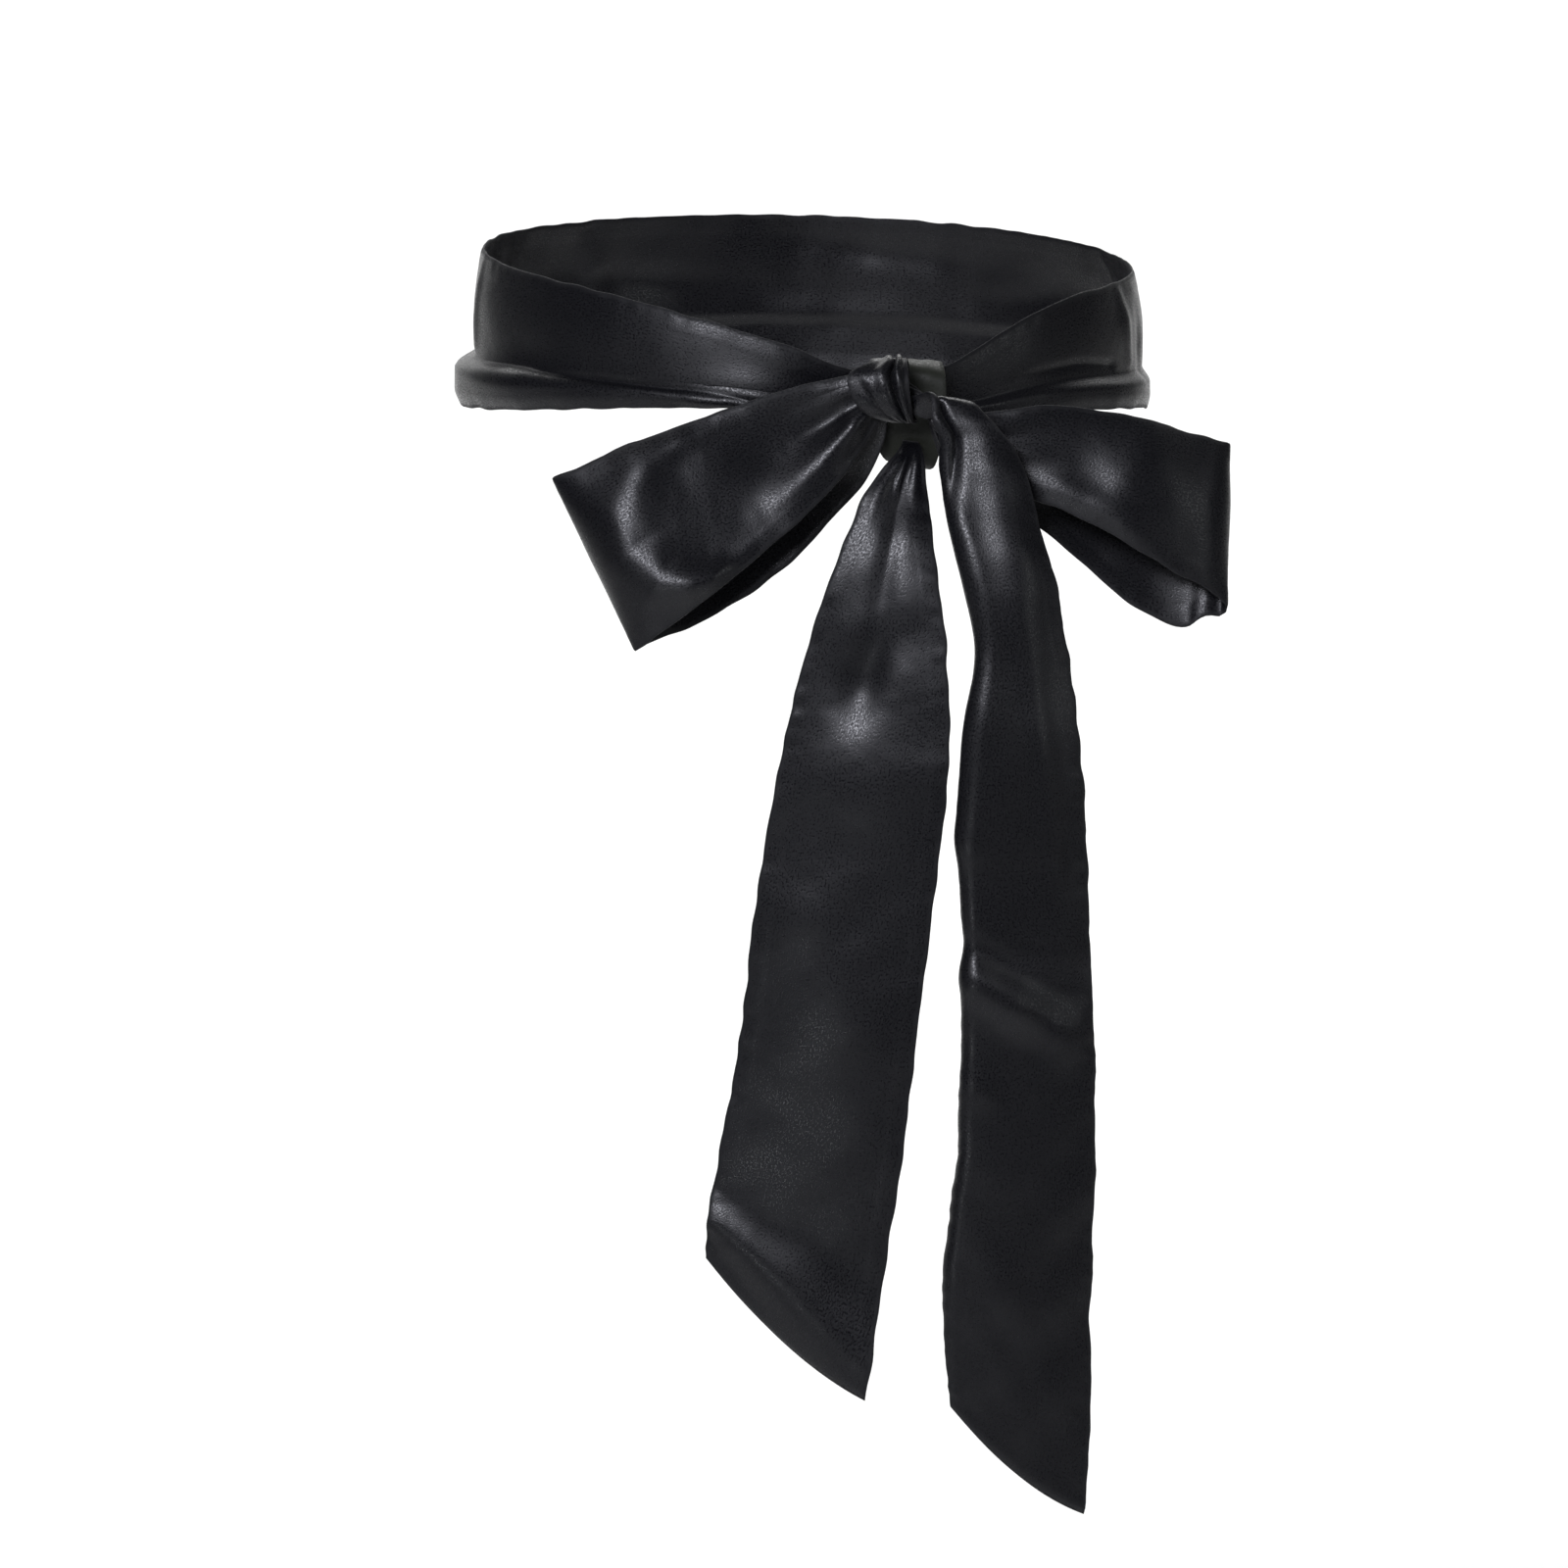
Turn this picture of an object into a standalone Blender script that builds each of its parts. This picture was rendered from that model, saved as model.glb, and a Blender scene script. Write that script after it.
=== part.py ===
"""Satin sash tied round a waist in a bow, kept hollow and at its real size.

The sash is one long flat strip of double satin. Each stretch of it that shows is an
object of its own: the band round the waist, the crossing and the wrap of the knot, two
loops and two tails. Metres, +Z up. The origin is the middle of the waist and the front
faces -Y. Left in the names is the left of the front view, at -X.
"""

import math
from collections import namedtuple

import bpy
import numpy as np

# Driving dimensions

WALL = 0.0012
WAIST_HALF_WIDTH = 0.1325
WAIST_HALF_DEPTH = 0.100
WAIST_SHIFT = 0.003
KNOT_HALF_DEPTH = 0.0085
KNOT_HALF_HEIGHT = 0.0120
KNOT_Y = -0.1190
KNOT_Z = -0.0003
TURN_STEPS = 4
CURL_RADIUS = 0.0035
TAIL_END_BOW = 0.0055
TAIL_END_LENGTH = 0.030

# Shape across the band, as shares of its width from the top edge down

LEAN_SHARE = 0.5
STEP_BEFORE_CREASE = 0.02
STEP_AFTER_CREASE = 0.13
TUCK_BEGIN = 0.88
TUCK_END = 1.04
TUCK_DEPTH = 0.4

# Mesh spacing

STRIP_STEP = 0.012
STEP_SLACK = 0.01
STRIP_ACROSS = 12
BAND_STEP_DEGREES = 5.5
BAND_ACROSS = 13
WRAP_AROUND = 28
WRAP_ACROSS = 12

# Finish

SATIN_COLOUR = (0.010, 0.010, 0.012, 1.0)
SATIN_ROUGHNESS = 0.36

# Tables. Places are metres, angles are degrees from the front towards +X.

BandRow = namedtuple("BandRow", "angle top bottom out lean step crease")
WrapRow = namedtuple("WrapRow", "angle left right")
Row = namedtuple("Row", "first last bulge curl")
Fold = namedtuple("Fold", "begin full fade end across_begin across_end height width")

# A band row has the heights of the two edges, how far the band stands out past the waist,
# how far its top edge leans in, how far the cloth below the crease steps out and where the
# crease lies.

BAND_ROWS = [
    BandRow(20, 0.001, -0.018, -0.0030, 0.000, 0.0000, 0.70),
    BandRow(7, 0.004, -0.017, -0.0010, 0.000, 0.0005, 0.70),
    BandRow(-4, 0.014, -0.013, 0.0000, 0.001, 0.0010, 0.72),
    BandRow(-12, 0.019, -0.011, 0.0000, 0.002, 0.0020, 0.74),
    BandRow(-25, 0.0258, -0.012, 0.0000, 0.003, 0.0040, 0.74),
    BandRow(-40, 0.0308, -0.015, 0.0000, 0.004, 0.0060, 0.72),
    BandRow(-63, 0.0343, -0.021, 0.0000, 0.004, 0.0075, 0.69),
    BandRow(-90, 0.0360, -0.028, 0.0000, 0.004, 0.0080, 0.66),
    BandRow(-135, 0.0350, -0.032, 0.0000, 0.004, 0.0060, 0.64),
    BandRow(-180, 0.0330, -0.033, 0.0000, 0.003, 0.0030, 0.62),
    BandRow(-225, 0.0300, -0.033, 0.0000, 0.004, 0.0030, 0.64),
    BandRow(-270, 0.0270, -0.029, 0.0000, 0.004, 0.0030, 0.70),
    BandRow(-293, 0.027, -0.022, 0.0000, 0.004, 0.0050, 0.72),
    BandRow(-308, 0.026, -0.0185, 0.0000, 0.003, 0.0050, 0.72),
    BandRow(-322, 0.019, -0.0180, 0.0005, 0.002, 0.0035, 0.70),
    BandRow(-331, 0.0105, -0.0180, 0.0015, 0.001, 0.0020, 0.70),
    BandRow(-338, 0.0045, -0.0170, 0.0025, 0.000, 0.0010, 0.70),
    BandRow(-343, 0.0030, -0.015, 0.0030, 0.000, 0.0005, 0.74),
    BandRow(-351, 0.0020, -0.016, 0.0030, 0.000, 0.0000, 0.72),
]

# A wrap row has the two edges' places along X. Its angle runs from the top over the front.

WRAP_ROWS = [
    WrapRow(0, 0.0265, 0.0400),
    WrapRow(22, 0.0250, 0.0402),
    WrapRow(45, 0.0188, 0.0405),
    WrapRow(90, 0.0188, 0.0412),
    WrapRow(120, 0.0230, 0.0420),
    WrapRow(150, 0.0305, 0.0426),
    WrapRow(180, 0.0375, 0.0440),
    WrapRow(225, 0.0360, 0.0428),
    WrapRow(270, 0.0320, 0.0415),
    WrapRow(320, 0.0280, 0.0410),
    WrapRow(360, 0.0265, 0.0400),
]

# Front rows of a loop run from the knot to the loop's end, back rows from there to the knot.
# First is the top edge, last the bottom edge.

LOOP_LEFT_FRONT = [
    Row((0.0370, -0.1190, 0.0062), (0.0370, -0.1190, -0.0082), 0.000, 0.0),
    Row((0.0290, -0.1194, 0.0072), (0.0320, -0.1200, -0.0098), 0.000, 0.0),
    Row((0.0190, -0.1200, 0.0068), (0.0245, -0.1235, -0.0200), 0.001, 0.0),
    Row((0.0000, -0.1215, 0.0025), (0.0140, -0.1300, -0.0335), 0.000, 0.0),
    Row((-0.0270, -0.1215, -0.0062), (-0.0060, -0.1380, -0.0517), 0.001, 0.0),
    Row((-0.0490, -0.1225, -0.0146), (-0.0280, -0.1430, -0.0695), 0.004, 0.0),
    Row((-0.0709, -0.1240, -0.0225), (-0.0480, -0.1455, -0.0846), 0.006, 0.0),
    Row((-0.0933, -0.1230, -0.0331), (-0.0619, -0.1430, -0.0959), 0.001, 0.0),
]

LOOP_LEFT_BACK = [
    Row((-0.0933, -0.1200, -0.0331), (-0.0614, -0.1400, -0.0959), 0.000, 0.0),
    Row((-0.0700, -0.1120, -0.0258), (-0.0430, -0.1325, -0.0899), 0.002, 0.0),
    Row((-0.0480, -0.1080, -0.0185), (-0.0210, -0.1265, -0.0785), 0.003, 0.0),
    Row((-0.0260, -0.1070, -0.0110), (-0.0020, -0.1205, -0.0650), 0.003, 0.0),
    Row((0.0000, -0.1085, -0.0030), (0.0140, -0.1150, -0.0480), 0.002, 0.0),
    Row((0.0180, -0.1115, 0.0020), (0.0250, -0.1130, -0.0360), 0.000, 0.0),
    Row((0.0260, -0.1138, 0.0040), (0.0318, -0.1140, -0.0200), 0.000, 0.0),
    Row((0.0300, -0.1150, 0.0048), (0.0340, -0.1152, -0.0088), 0.000, 0.0),
    Row((0.0370, -0.1153, 0.0048), (0.0370, -0.1153, -0.0068), 0.000, 0.0),
]

LOOP_RIGHT_FRONT = [
    Row((0.0310, -0.1172, 0.0060), (0.0310, -0.1172, -0.0080), 0.000, 0.0),
    Row((0.0450, -0.1178, -0.0010), (0.0460, -0.1180, -0.0100), 0.000, 0.0),
    Row((0.0540, -0.1180, -0.0060), (0.0530, -0.1190, -0.0175), 0.001, 0.0),
    Row((0.0680, -0.1170, -0.0092), (0.0660, -0.1200, -0.0300), 0.001, 0.0),
    Row((0.0880, -0.1170, -0.0065), (0.0820, -0.1230, -0.0390), 0.001, 0.0),
    Row((0.1080, -0.1150, -0.0068), (0.1000, -0.1280, -0.0455), 0.003, 0.0),
    Row((0.1309, -0.1125, -0.0112), (0.1210, -0.1300, -0.0560), 0.007, 0.0),
    Row((0.1489, -0.1075, -0.0187), (0.1419, -0.1280, -0.0688), 0.005, 0.0),
    Row((0.1630, -0.1020, -0.0238), (0.1612, -0.1210, -0.0820), 0.001, 0.0),
]

LOOP_RIGHT_BACK = [
    Row((0.1630, -0.0990, -0.0238), (0.1575, -0.1180, -0.0880), 0.000, 0.0),
    Row((0.1480, -0.0990, -0.0215), (0.1475, -0.1165, -0.0930), 0.001, 0.0),
    Row((0.1310, -0.1010, -0.0165), (0.1280, -0.1140, -0.0855), 0.002, 0.0),
    Row((0.1080, -0.1040, -0.0120), (0.1080, -0.1115, -0.0690), 0.003, 0.0),
    Row((0.0880, -0.1070, -0.0110), (0.0900, -0.1095, -0.0545), 0.002, 0.0),
    Row((0.0680, -0.1095, -0.0110), (0.0690, -0.1105, -0.0420), 0.001, 0.0),
    Row((0.0540, -0.1115, -0.0080), (0.0550, -0.1120, -0.0330), 0.000, 0.0),
    Row((0.0490, -0.1125, -0.0045), (0.0505, -0.1128, -0.0205), 0.000, 0.0),
    Row((0.0455, -0.1132, -0.0012), (0.0470, -0.1133, -0.0100), 0.000, 0.0),
    Row((0.0405, -0.1136, 0.0022), (0.0415, -0.1136, -0.0048), 0.000, 0.0),
    Row((0.0330, -0.1136, 0.0035), (0.0330, -0.1136, -0.0045), 0.000, 0.0),
]

# Rows of a tail run from the knot down. First is its left edge, last its right edge.

TAIL_LEFT_ROWS = [
    Row((0.0390, -0.1097, -0.0215), (0.0450, -0.1097, -0.0220), 0.000, 0.0),
    Row((0.0370, -0.1150, -0.0230), (0.0460, -0.1150, -0.0240), 0.000, 0.0),
    Row((0.0350, -0.1190, -0.0262), (0.0468, -0.1190, -0.0280), 0.000, 0.0),
    Row((0.0275, -0.1230, -0.0340), (0.0475, -0.1215, -0.0360), 0.001, 0.0),
    Row((0.0165, -0.1310, -0.0572), (0.0500, -0.1320, -0.0568), 0.003, 0.0),
    Row((0.0010, -0.1400, -0.1005), (0.0551, -0.1450, -0.0953), 0.005, 0.0),
    Row((-0.0085, -0.1470, -0.1406), (0.0562, -0.1535, -0.1339), 0.005, 0.0),
    Row((-0.0172, -0.1542, -0.1918), (0.0512, -0.1615, -0.1837), 0.004, 0.0),
    Row((-0.0234, -0.1607, -0.2438), (0.0446, -0.1685, -0.2366), 0.004, 0.0),
    Row((-0.0322, -0.1680, -0.2918), (0.0379, -0.1755, -0.2936), 0.003, 0.0),
    Row((-0.0357, -0.1715, -0.3136), (0.0314, -0.1800, -0.3357), 0.002, 0.0),
    Row((-0.0368, -0.1740, -0.3280), (0.0250, -0.1850, -0.3814), 0.000, 0.0),
]

TAIL_RIGHT_ROWS = [
    Row((0.0370, -0.1213, -0.0020), (0.0370, -0.1213, -0.0085), 0.000, 0.0),
    Row((0.0415, -0.1228, -0.0015), (0.0420, -0.1222, -0.0091), 0.000, 0.0),
    Row((0.0442, -0.1245, -0.0008), (0.0475, -0.1220, -0.0108), 0.000, 0.0),
    Row((0.0466, -0.1266, -0.0002), (0.0540, -0.1228, -0.0082), 0.000, 0.0),
    Row((0.0488, -0.1292, -0.0005), (0.0630, -0.1252, -0.0040), 0.000, 0.0),
    Row((0.0492, -0.1315, -0.0075), (0.0705, -0.1286, -0.0088), 0.000, 0.001),
    Row((0.0534, -0.1335, -0.0155), (0.0790, -0.1295, -0.0190), 0.001, 0.004),
    Row((0.0550, -0.1365, -0.0252), (0.0844, -0.1315, -0.0307), 0.002, 0.008),
    Row((0.0571, -0.1415, -0.0382), (0.0883, -0.1355, -0.0452), 0.003, 0.011),
    Row((0.0647, -0.1505, -0.0662), (0.0951, -0.1425, -0.0702), 0.004, 0.013),
    Row((0.0692, -0.1565, -0.0896), (0.0993, -0.1465, -0.0906), 0.005, 0.014),
    Row((0.0657, -0.1630, -0.1174), (0.1035, -0.1510, -0.1184), 0.006, 0.013),
    Row((0.0617, -0.1695, -0.1635), (0.1080, -0.1565, -0.1675), 0.007, 0.011),
    Row((0.0627, -0.1745, -0.2066), (0.1104, -0.1625, -0.2126), 0.007, 0.010),
    Row((0.0618, -0.1785, -0.2528), (0.1124, -0.1675, -0.2598), 0.007, 0.009),
    Row((0.0603, -0.1815, -0.2890), (0.1125, -0.1715, -0.3029), 0.006, 0.008),
    Row((0.0559, -0.1840, -0.3262), (0.1112, -0.1755, -0.3501), 0.005, 0.006),
    Row((0.0554, -0.1865, -0.3585), (0.1116, -0.1800, -0.3934), 0.004, 0.004),
    Row((0.0574, -0.1880, -0.3836), (0.1093, -0.1850, -0.4285), 0.002, 0.002),
]

# Rows of the crossing run down behind the wrap. First is its left edge, last its right edge.

CROSSING_ROWS = [
    Row((0.0370, -0.0960, 0.0062), (0.0530, -0.0915, 0.0059), 0.000, 0.0),
    Row((0.0362, -0.1025, 0.0085), (0.0542, -0.0985, 0.0062), 0.000, 0.0),
    Row((0.0350, -0.1074, 0.0070), (0.0550, -0.1045, 0.0030), 0.000, 0.0),
    Row((0.0330, -0.1080, -0.0015), (0.0553, -0.1070, -0.0050), 0.000, 0.0),
    Row((0.0300, -0.1080, -0.0120), (0.0545, -0.1075, -0.0160), 0.000, 0.0),
    Row((0.0300, -0.1075, -0.0228), (0.0535, -0.1075, -0.0270), 0.000, 0.0),
    Row((0.0315, -0.1045, -0.0285), (0.0525, -0.1045, -0.0335), 0.000, 0.0),
    Row((0.0320, -0.0985, -0.0300), (0.0515, -0.0985, -0.0350), 0.000, 0.0),
]

# Folds of a strip are measured in metres along from its first row. Folds of the band and the
# wrap are measured as shares of their whole length. Across runs from 0 to 1.

CROSSING_FOLDS = [
    Fold(-0.010, 0.000, 0.030, 0.050, 0.30, 0.35, 0.0012, 0.12),
    Fold(-0.010, 0.000, 0.030, 0.050, 0.70, 0.65, 0.0012, 0.12),
]

LOOP_LEFT_FOLDS = [
    Fold(0.008, 0.020, 0.030, 0.070, 0.18, 0.10, 0.0022, 0.10),
    Fold(0.008, 0.020, 0.050, 0.095, 0.50, 0.62, 0.0026, 0.10),
    Fold(0.008, 0.020, 0.025, 0.060, 0.82, 0.88, 0.0020, 0.09),
    Fold(0.040, 0.070, 0.090, 0.112, 0.48, 0.46, -0.0045, 0.20),
    Fold(0.150, 0.180, 0.215, 0.238, 0.45, 0.45, 0.0022, 0.14),
]

LOOP_RIGHT_FOLDS = [
    Fold(0.012, 0.025, 0.040, 0.080, 0.22, 0.18, 0.0022, 0.10),
    Fold(0.012, 0.025, 0.060, 0.110, 0.58, 0.50, 0.0028, 0.11),
    Fold(0.060, 0.085, 0.105, 0.122, 0.78, 0.80, -0.0030, 0.14),
    Fold(0.160, 0.190, 0.225, 0.245, 0.50, 0.50, 0.0022, 0.14),
]

TAIL_LEFT_FOLDS = [
    Fold(0.004, 0.020, 0.060, 0.150, 0.22, 0.20, 0.0022, 0.11),
    Fold(0.010, 0.040, 0.120, 0.200, 0.56, 0.55, -0.0040, 0.10),
    Fold(0.004, 0.020, 0.060, 0.140, 0.85, 0.85, 0.0020, 0.10),
    Fold(0.240, 0.290, 0.320, 0.380, 0.15, 0.85, 0.0020, 0.18),
]

TAIL_RIGHT_FOLDS = [
    Fold(0.020, 0.035, 0.070, 0.120, 0.42, 0.42, -0.0026, 0.10),
    Fold(0.025, 0.045, 0.090, 0.160, 0.75, 0.68, 0.0022, 0.10),
    Fold(0.215, 0.240, 0.255, 0.280, 0.20, 0.55, 0.0018, 0.12),
]

WRAP_FOLDS = [
    Fold(-0.35, 0.02, 0.30, 0.48, 0.22, 0.40, 0.0018, 0.12),
    Fold(-0.35, 0.02, 0.30, 0.48, 0.52, 0.55, 0.0020, 0.10),
    Fold(-0.35, 0.02, 0.30, 0.48, 0.86, 0.75, 0.0014, 0.12),
]

BAND_FOLDS = [
    Fold(0.00, 0.03, 0.06, 0.12, 0.25, 0.22, 0.0010, 0.10),
    Fold(0.00, 0.03, 0.07, 0.16, 0.60, 0.62, 0.0012, 0.10),
    Fold(0.62, 0.68, 0.74, 0.80, 0.30, 0.36, 0.0010, 0.12),
    Fold(0.60, 0.68, 0.72, 0.78, 0.70, 0.60, 0.0010, 0.10),
]


def clear_scene():
    """Remove every object that the scene already holds."""
    for thing in list(bpy.data.objects):
        bpy.data.objects.remove(thing, do_unlink=True)


def satin(name):
    """A near-black satin finish for one stretch."""
    material = bpy.data.materials.new(name)
    material.use_nodes = True
    shader = material.node_tree.nodes["Principled BSDF"]
    shader.inputs["Base Color"].default_value = SATIN_COLOUR
    shader.inputs["Roughness"].default_value = SATIN_ROUGHNESS
    shader.inputs["Metallic"].default_value = 0.0
    return material


def smooth(knots, values, spots):
    """Read the smooth curve through a table's values at the wanted spots."""
    knots = np.asarray(knots, float)
    values = np.asarray(values, float)
    slopes = np.gradient(values, knots, axis=0)
    place = np.clip(np.searchsorted(knots, spots, side="right") - 1, 0, len(knots) - 2)
    step = knots[place + 1] - knots[place]
    t = (spots - knots[place]) / step
    if values.ndim == 2:
        t = t[:, None]
        step = step[:, None]
    start = (2 * t**3 - 3 * t**2 + 1) * values[place] + (t**3 - 2 * t**2 + t) * step * slopes[place]
    finish = (3 * t**2 - 2 * t**3) * values[place + 1] + (t**3 - t**2) * step * slopes[place + 1]
    return start + finish


def ramp(value, low, high):
    """Rise smoothly from 0 at low to 1 at high."""
    t = np.clip((value - low) / (high - low), 0.0, 1.0)
    return t * t * (3.0 - 2.0 * t)


def unit(vectors):
    """Give each vector a length of 1."""
    return vectors / np.linalg.norm(vectors, axis=-1, keepdims=True)


def fold_heights(folds, along, across):
    """Heights of all ridges and troughs over a grid of places along and across a stretch."""
    along = along[:, None]
    total = np.zeros((len(along), len(across)))
    for fold in folds:
        share = (along - fold.begin) / (fold.end - fold.begin)
        middle = fold.across_begin + (fold.across_end - fold.across_begin) * share
        strength = ramp(along, fold.begin, fold.full) * (1.0 - ramp(along, fold.fade, fold.end))
        total += fold.height * strength * np.exp(-(((across - middle) / fold.width) ** 2))
    return total


def strip_spots(knots):
    """Places along a stretch, at most one step apart, with one on every row."""
    spots = [0.0]
    for low, high in zip(knots[:-1], knots[1:]):
        count = max(1, math.ceil((high - low) / STRIP_STEP - STEP_SLACK))
        spots.extend(low + (high - low) * (i + 1) / count for i in range(count))
    return np.array(spots)


def strip_points(rows, folds, side=1.0, end_bow=0.0):
    """Lay one stretch between the two edges that its rows give.

    A row's curl is the length of cloth at its first edge that rolls under, away from the
    outer face, and its bulge lifts the middle of the stretch. The end bow is how far the
    middle of the cut end stands out past a straight line between its corners.
    """
    first = np.array([row.first for row in rows])
    last = np.array([row.last for row in rows])
    middle = (first + last) / 2
    lengths = np.linalg.norm(np.diff(middle, axis=0), axis=1)
    knots = np.concatenate([[0.0], np.cumsum(lengths)])
    spots = strip_spots(knots)
    first = smooth(knots, first, spots)
    last = smooth(knots, last, spots)
    bulge = smooth(knots, [row.bulge for row in rows], spots)[:, None]
    curl = np.maximum(smooth(knots, [row.curl for row in rows], spots), 0.0)[:, None]

    run = np.gradient((first + last) / 2, spots, axis=0)
    reach = last - first
    chord = np.linalg.norm(reach, axis=1)[:, None]
    sideways = unit(reach)
    outward = unit(np.cross(run, sideways)) * side

    across = np.linspace(0.0, 1.0, STRIP_ACROSS + 1)
    shift = CURL_RADIUS * np.sin(np.minimum(curl / CURL_RADIUS, math.pi / 2))
    length = across * (chord - shift + curl) - curl
    angle = np.clip(-length / CURL_RADIUS, 0.0, None)
    sideways_place = shift + np.where(length < 0, -CURL_RADIUS * np.sin(angle), length)
    outward_place = -CURL_RADIUS * (1.0 - np.cos(angle))
    outward_place = outward_place + bulge * 4.0 * across * (1.0 - across)
    outward_place = outward_place + fold_heights(folds, spots, across)
    end_share = ramp(spots, spots[-1] - TAIL_END_LENGTH, spots[-1])[:, None]
    bow = end_bow * end_share * 4.0 * across * (1.0 - across)
    return (
        first[:, None, :]
        + sideways[:, None, :] * sideways_place[:, :, None]
        + outward[:, None, :] * outward_place[:, :, None]
        + unit(run)[:, None, :] * bow[:, :, None]
    )


def turned_rows(front, back):
    """Join a loop's front and back rows with the half turn at its end."""
    rows = list(front)
    pairs = []
    for edge in ("first", "last"):
        start = np.array(getattr(front[-1], edge))
        finish = np.array(getattr(back[0], edge))
        ahead = unit(start - np.array(getattr(front[-2], edge)))
        pairs.append((start, finish, ahead))
    for i in range(1, TURN_STEPS):
        angle = math.pi * i / TURN_STEPS
        edges = []
        for start, finish, ahead in pairs:
            centre = (start + finish) / 2
            radius = np.linalg.norm(start - finish) / 2
            place = centre + math.cos(angle) * (start - centre) + math.sin(angle) * radius * ahead
            edges.append(tuple(place))
        rows.append(Row(edges[0], edges[1], 0.0, 0.0))
    return rows + list(back)


def band_points():
    """The band, from behind the knot to the left, round the back and on to the knot again."""
    knots = np.array([-row.angle for row in BAND_ROWS], float)
    count = round((knots[-1] - knots[0]) / BAND_STEP_DEGREES)
    turned = np.linspace(knots[0], knots[-1], count + 1)
    column = {name: smooth(knots, [getattr(row, name) for row in BAND_ROWS], turned)[:, None]
              for name in ("top", "bottom", "out", "lean", "step", "crease")}
    angle = -np.radians(turned)[:, None]
    across = np.linspace(0.0, 1.0, BAND_ACROSS + 1)
    lean = -column["lean"] * np.clip(1.0 - across / LEAN_SHARE, 0.0, None) ** 2
    crease = column["crease"]
    step = column["step"] * ramp(across, crease - STEP_BEFORE_CREASE, crease + STEP_AFTER_CREASE)
    tuck = -TUCK_DEPTH * column["step"] * ramp(across, TUCK_BEGIN, TUCK_END)
    along = (turned - turned[0]) / (turned[-1] - turned[0])
    offset = column["out"] + lean + step + tuck + fold_heights(BAND_FOLDS, along, across)
    x = WAIST_SHIFT + (WAIST_HALF_WIDTH + offset) * np.sin(angle)
    y = -(WAIST_HALF_DEPTH + offset) * np.cos(angle)
    z = column["top"] + (column["bottom"] - column["top"]) * across
    return np.stack([x, y, z], axis=-1)


def wrap_points():
    """The wrap of the knot: a strap that goes over the top, down the front and up behind."""
    around = np.arange(WRAP_AROUND) / WRAP_AROUND
    knots = [row.angle for row in WRAP_ROWS]
    left = smooth(knots, [row.left for row in WRAP_ROWS], around * 360.0)[:, None]
    right = smooth(knots, [row.right for row in WRAP_ROWS], around * 360.0)[:, None]
    across = np.linspace(0.0, 1.0, WRAP_ACROSS + 1)
    height = fold_heights(WRAP_FOLDS, around, across)
    angle = (2.0 * math.pi * around)[:, None]
    x = left + (right - left) * across
    y = KNOT_Y - (KNOT_HALF_DEPTH + height) * np.sin(angle)
    z = KNOT_Z + (KNOT_HALF_HEIGHT + height) * np.cos(angle)
    return np.stack([x, y, z], axis=-1)


def make_cloth(name, points, collection, closed=False):
    """A sheet through a grid of points, given the cloth's thickness. Closed joins its ends."""
    rows, columns = points.shape[:2]
    vertices = [tuple(point) for point in points.reshape(-1, 3)]
    faces = []
    for i in range(rows if closed else rows - 1):
        here = i * columns
        following = (i + 1) % rows * columns
        for j in range(columns - 1):
            faces.append((here + j, here + j + 1, following + j + 1, following + j))
    mesh = bpy.data.meshes.new(name)
    mesh.from_pydata(vertices, [], faces)
    mesh.shade_smooth()
    mesh.materials.append(satin(name + "_satin"))
    cloth = bpy.data.objects.new(name, mesh)
    collection.objects.link(cloth)
    thickness = cloth.modifiers.new("thickness", "SOLIDIFY")
    thickness.thickness = WALL
    thickness.offset = 0.0
    return cloth


def main():
    clear_scene()
    collection = bpy.data.collections.new("satin_sash")
    bpy.context.scene.collection.children.link(collection)
    make_cloth("waist_band", band_points(), collection)
    make_cloth("knot_wrap", wrap_points(), collection, closed=True)
    make_cloth("knot_crossing", strip_points(CROSSING_ROWS, CROSSING_FOLDS), collection)
    left_rows = turned_rows(LOOP_LEFT_FRONT, LOOP_LEFT_BACK)
    make_cloth("loop_left", strip_points(left_rows, LOOP_LEFT_FOLDS), collection)
    right_rows = turned_rows(LOOP_RIGHT_FRONT, LOOP_RIGHT_BACK)
    make_cloth("loop_right", strip_points(right_rows, LOOP_RIGHT_FOLDS, side=-1.0), collection)
    left_tail = strip_points(TAIL_LEFT_ROWS, TAIL_LEFT_FOLDS, end_bow=TAIL_END_BOW)
    make_cloth("tail_left", left_tail, collection)
    right_tail = strip_points(TAIL_RIGHT_ROWS, TAIL_RIGHT_FOLDS, end_bow=TAIL_END_BOW)
    make_cloth("tail_right", right_tail, collection)


main()
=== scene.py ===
"""Looks of the satin sash: thin double cloth, its creases, its seams and its weave.

Metres, in the frame of the solids. Each stretch is laid from rows like those of its solid, at a
finer step, and then gets the dents and creases that the solid leaves out.
"""

import math
from collections import namedtuple

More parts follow.
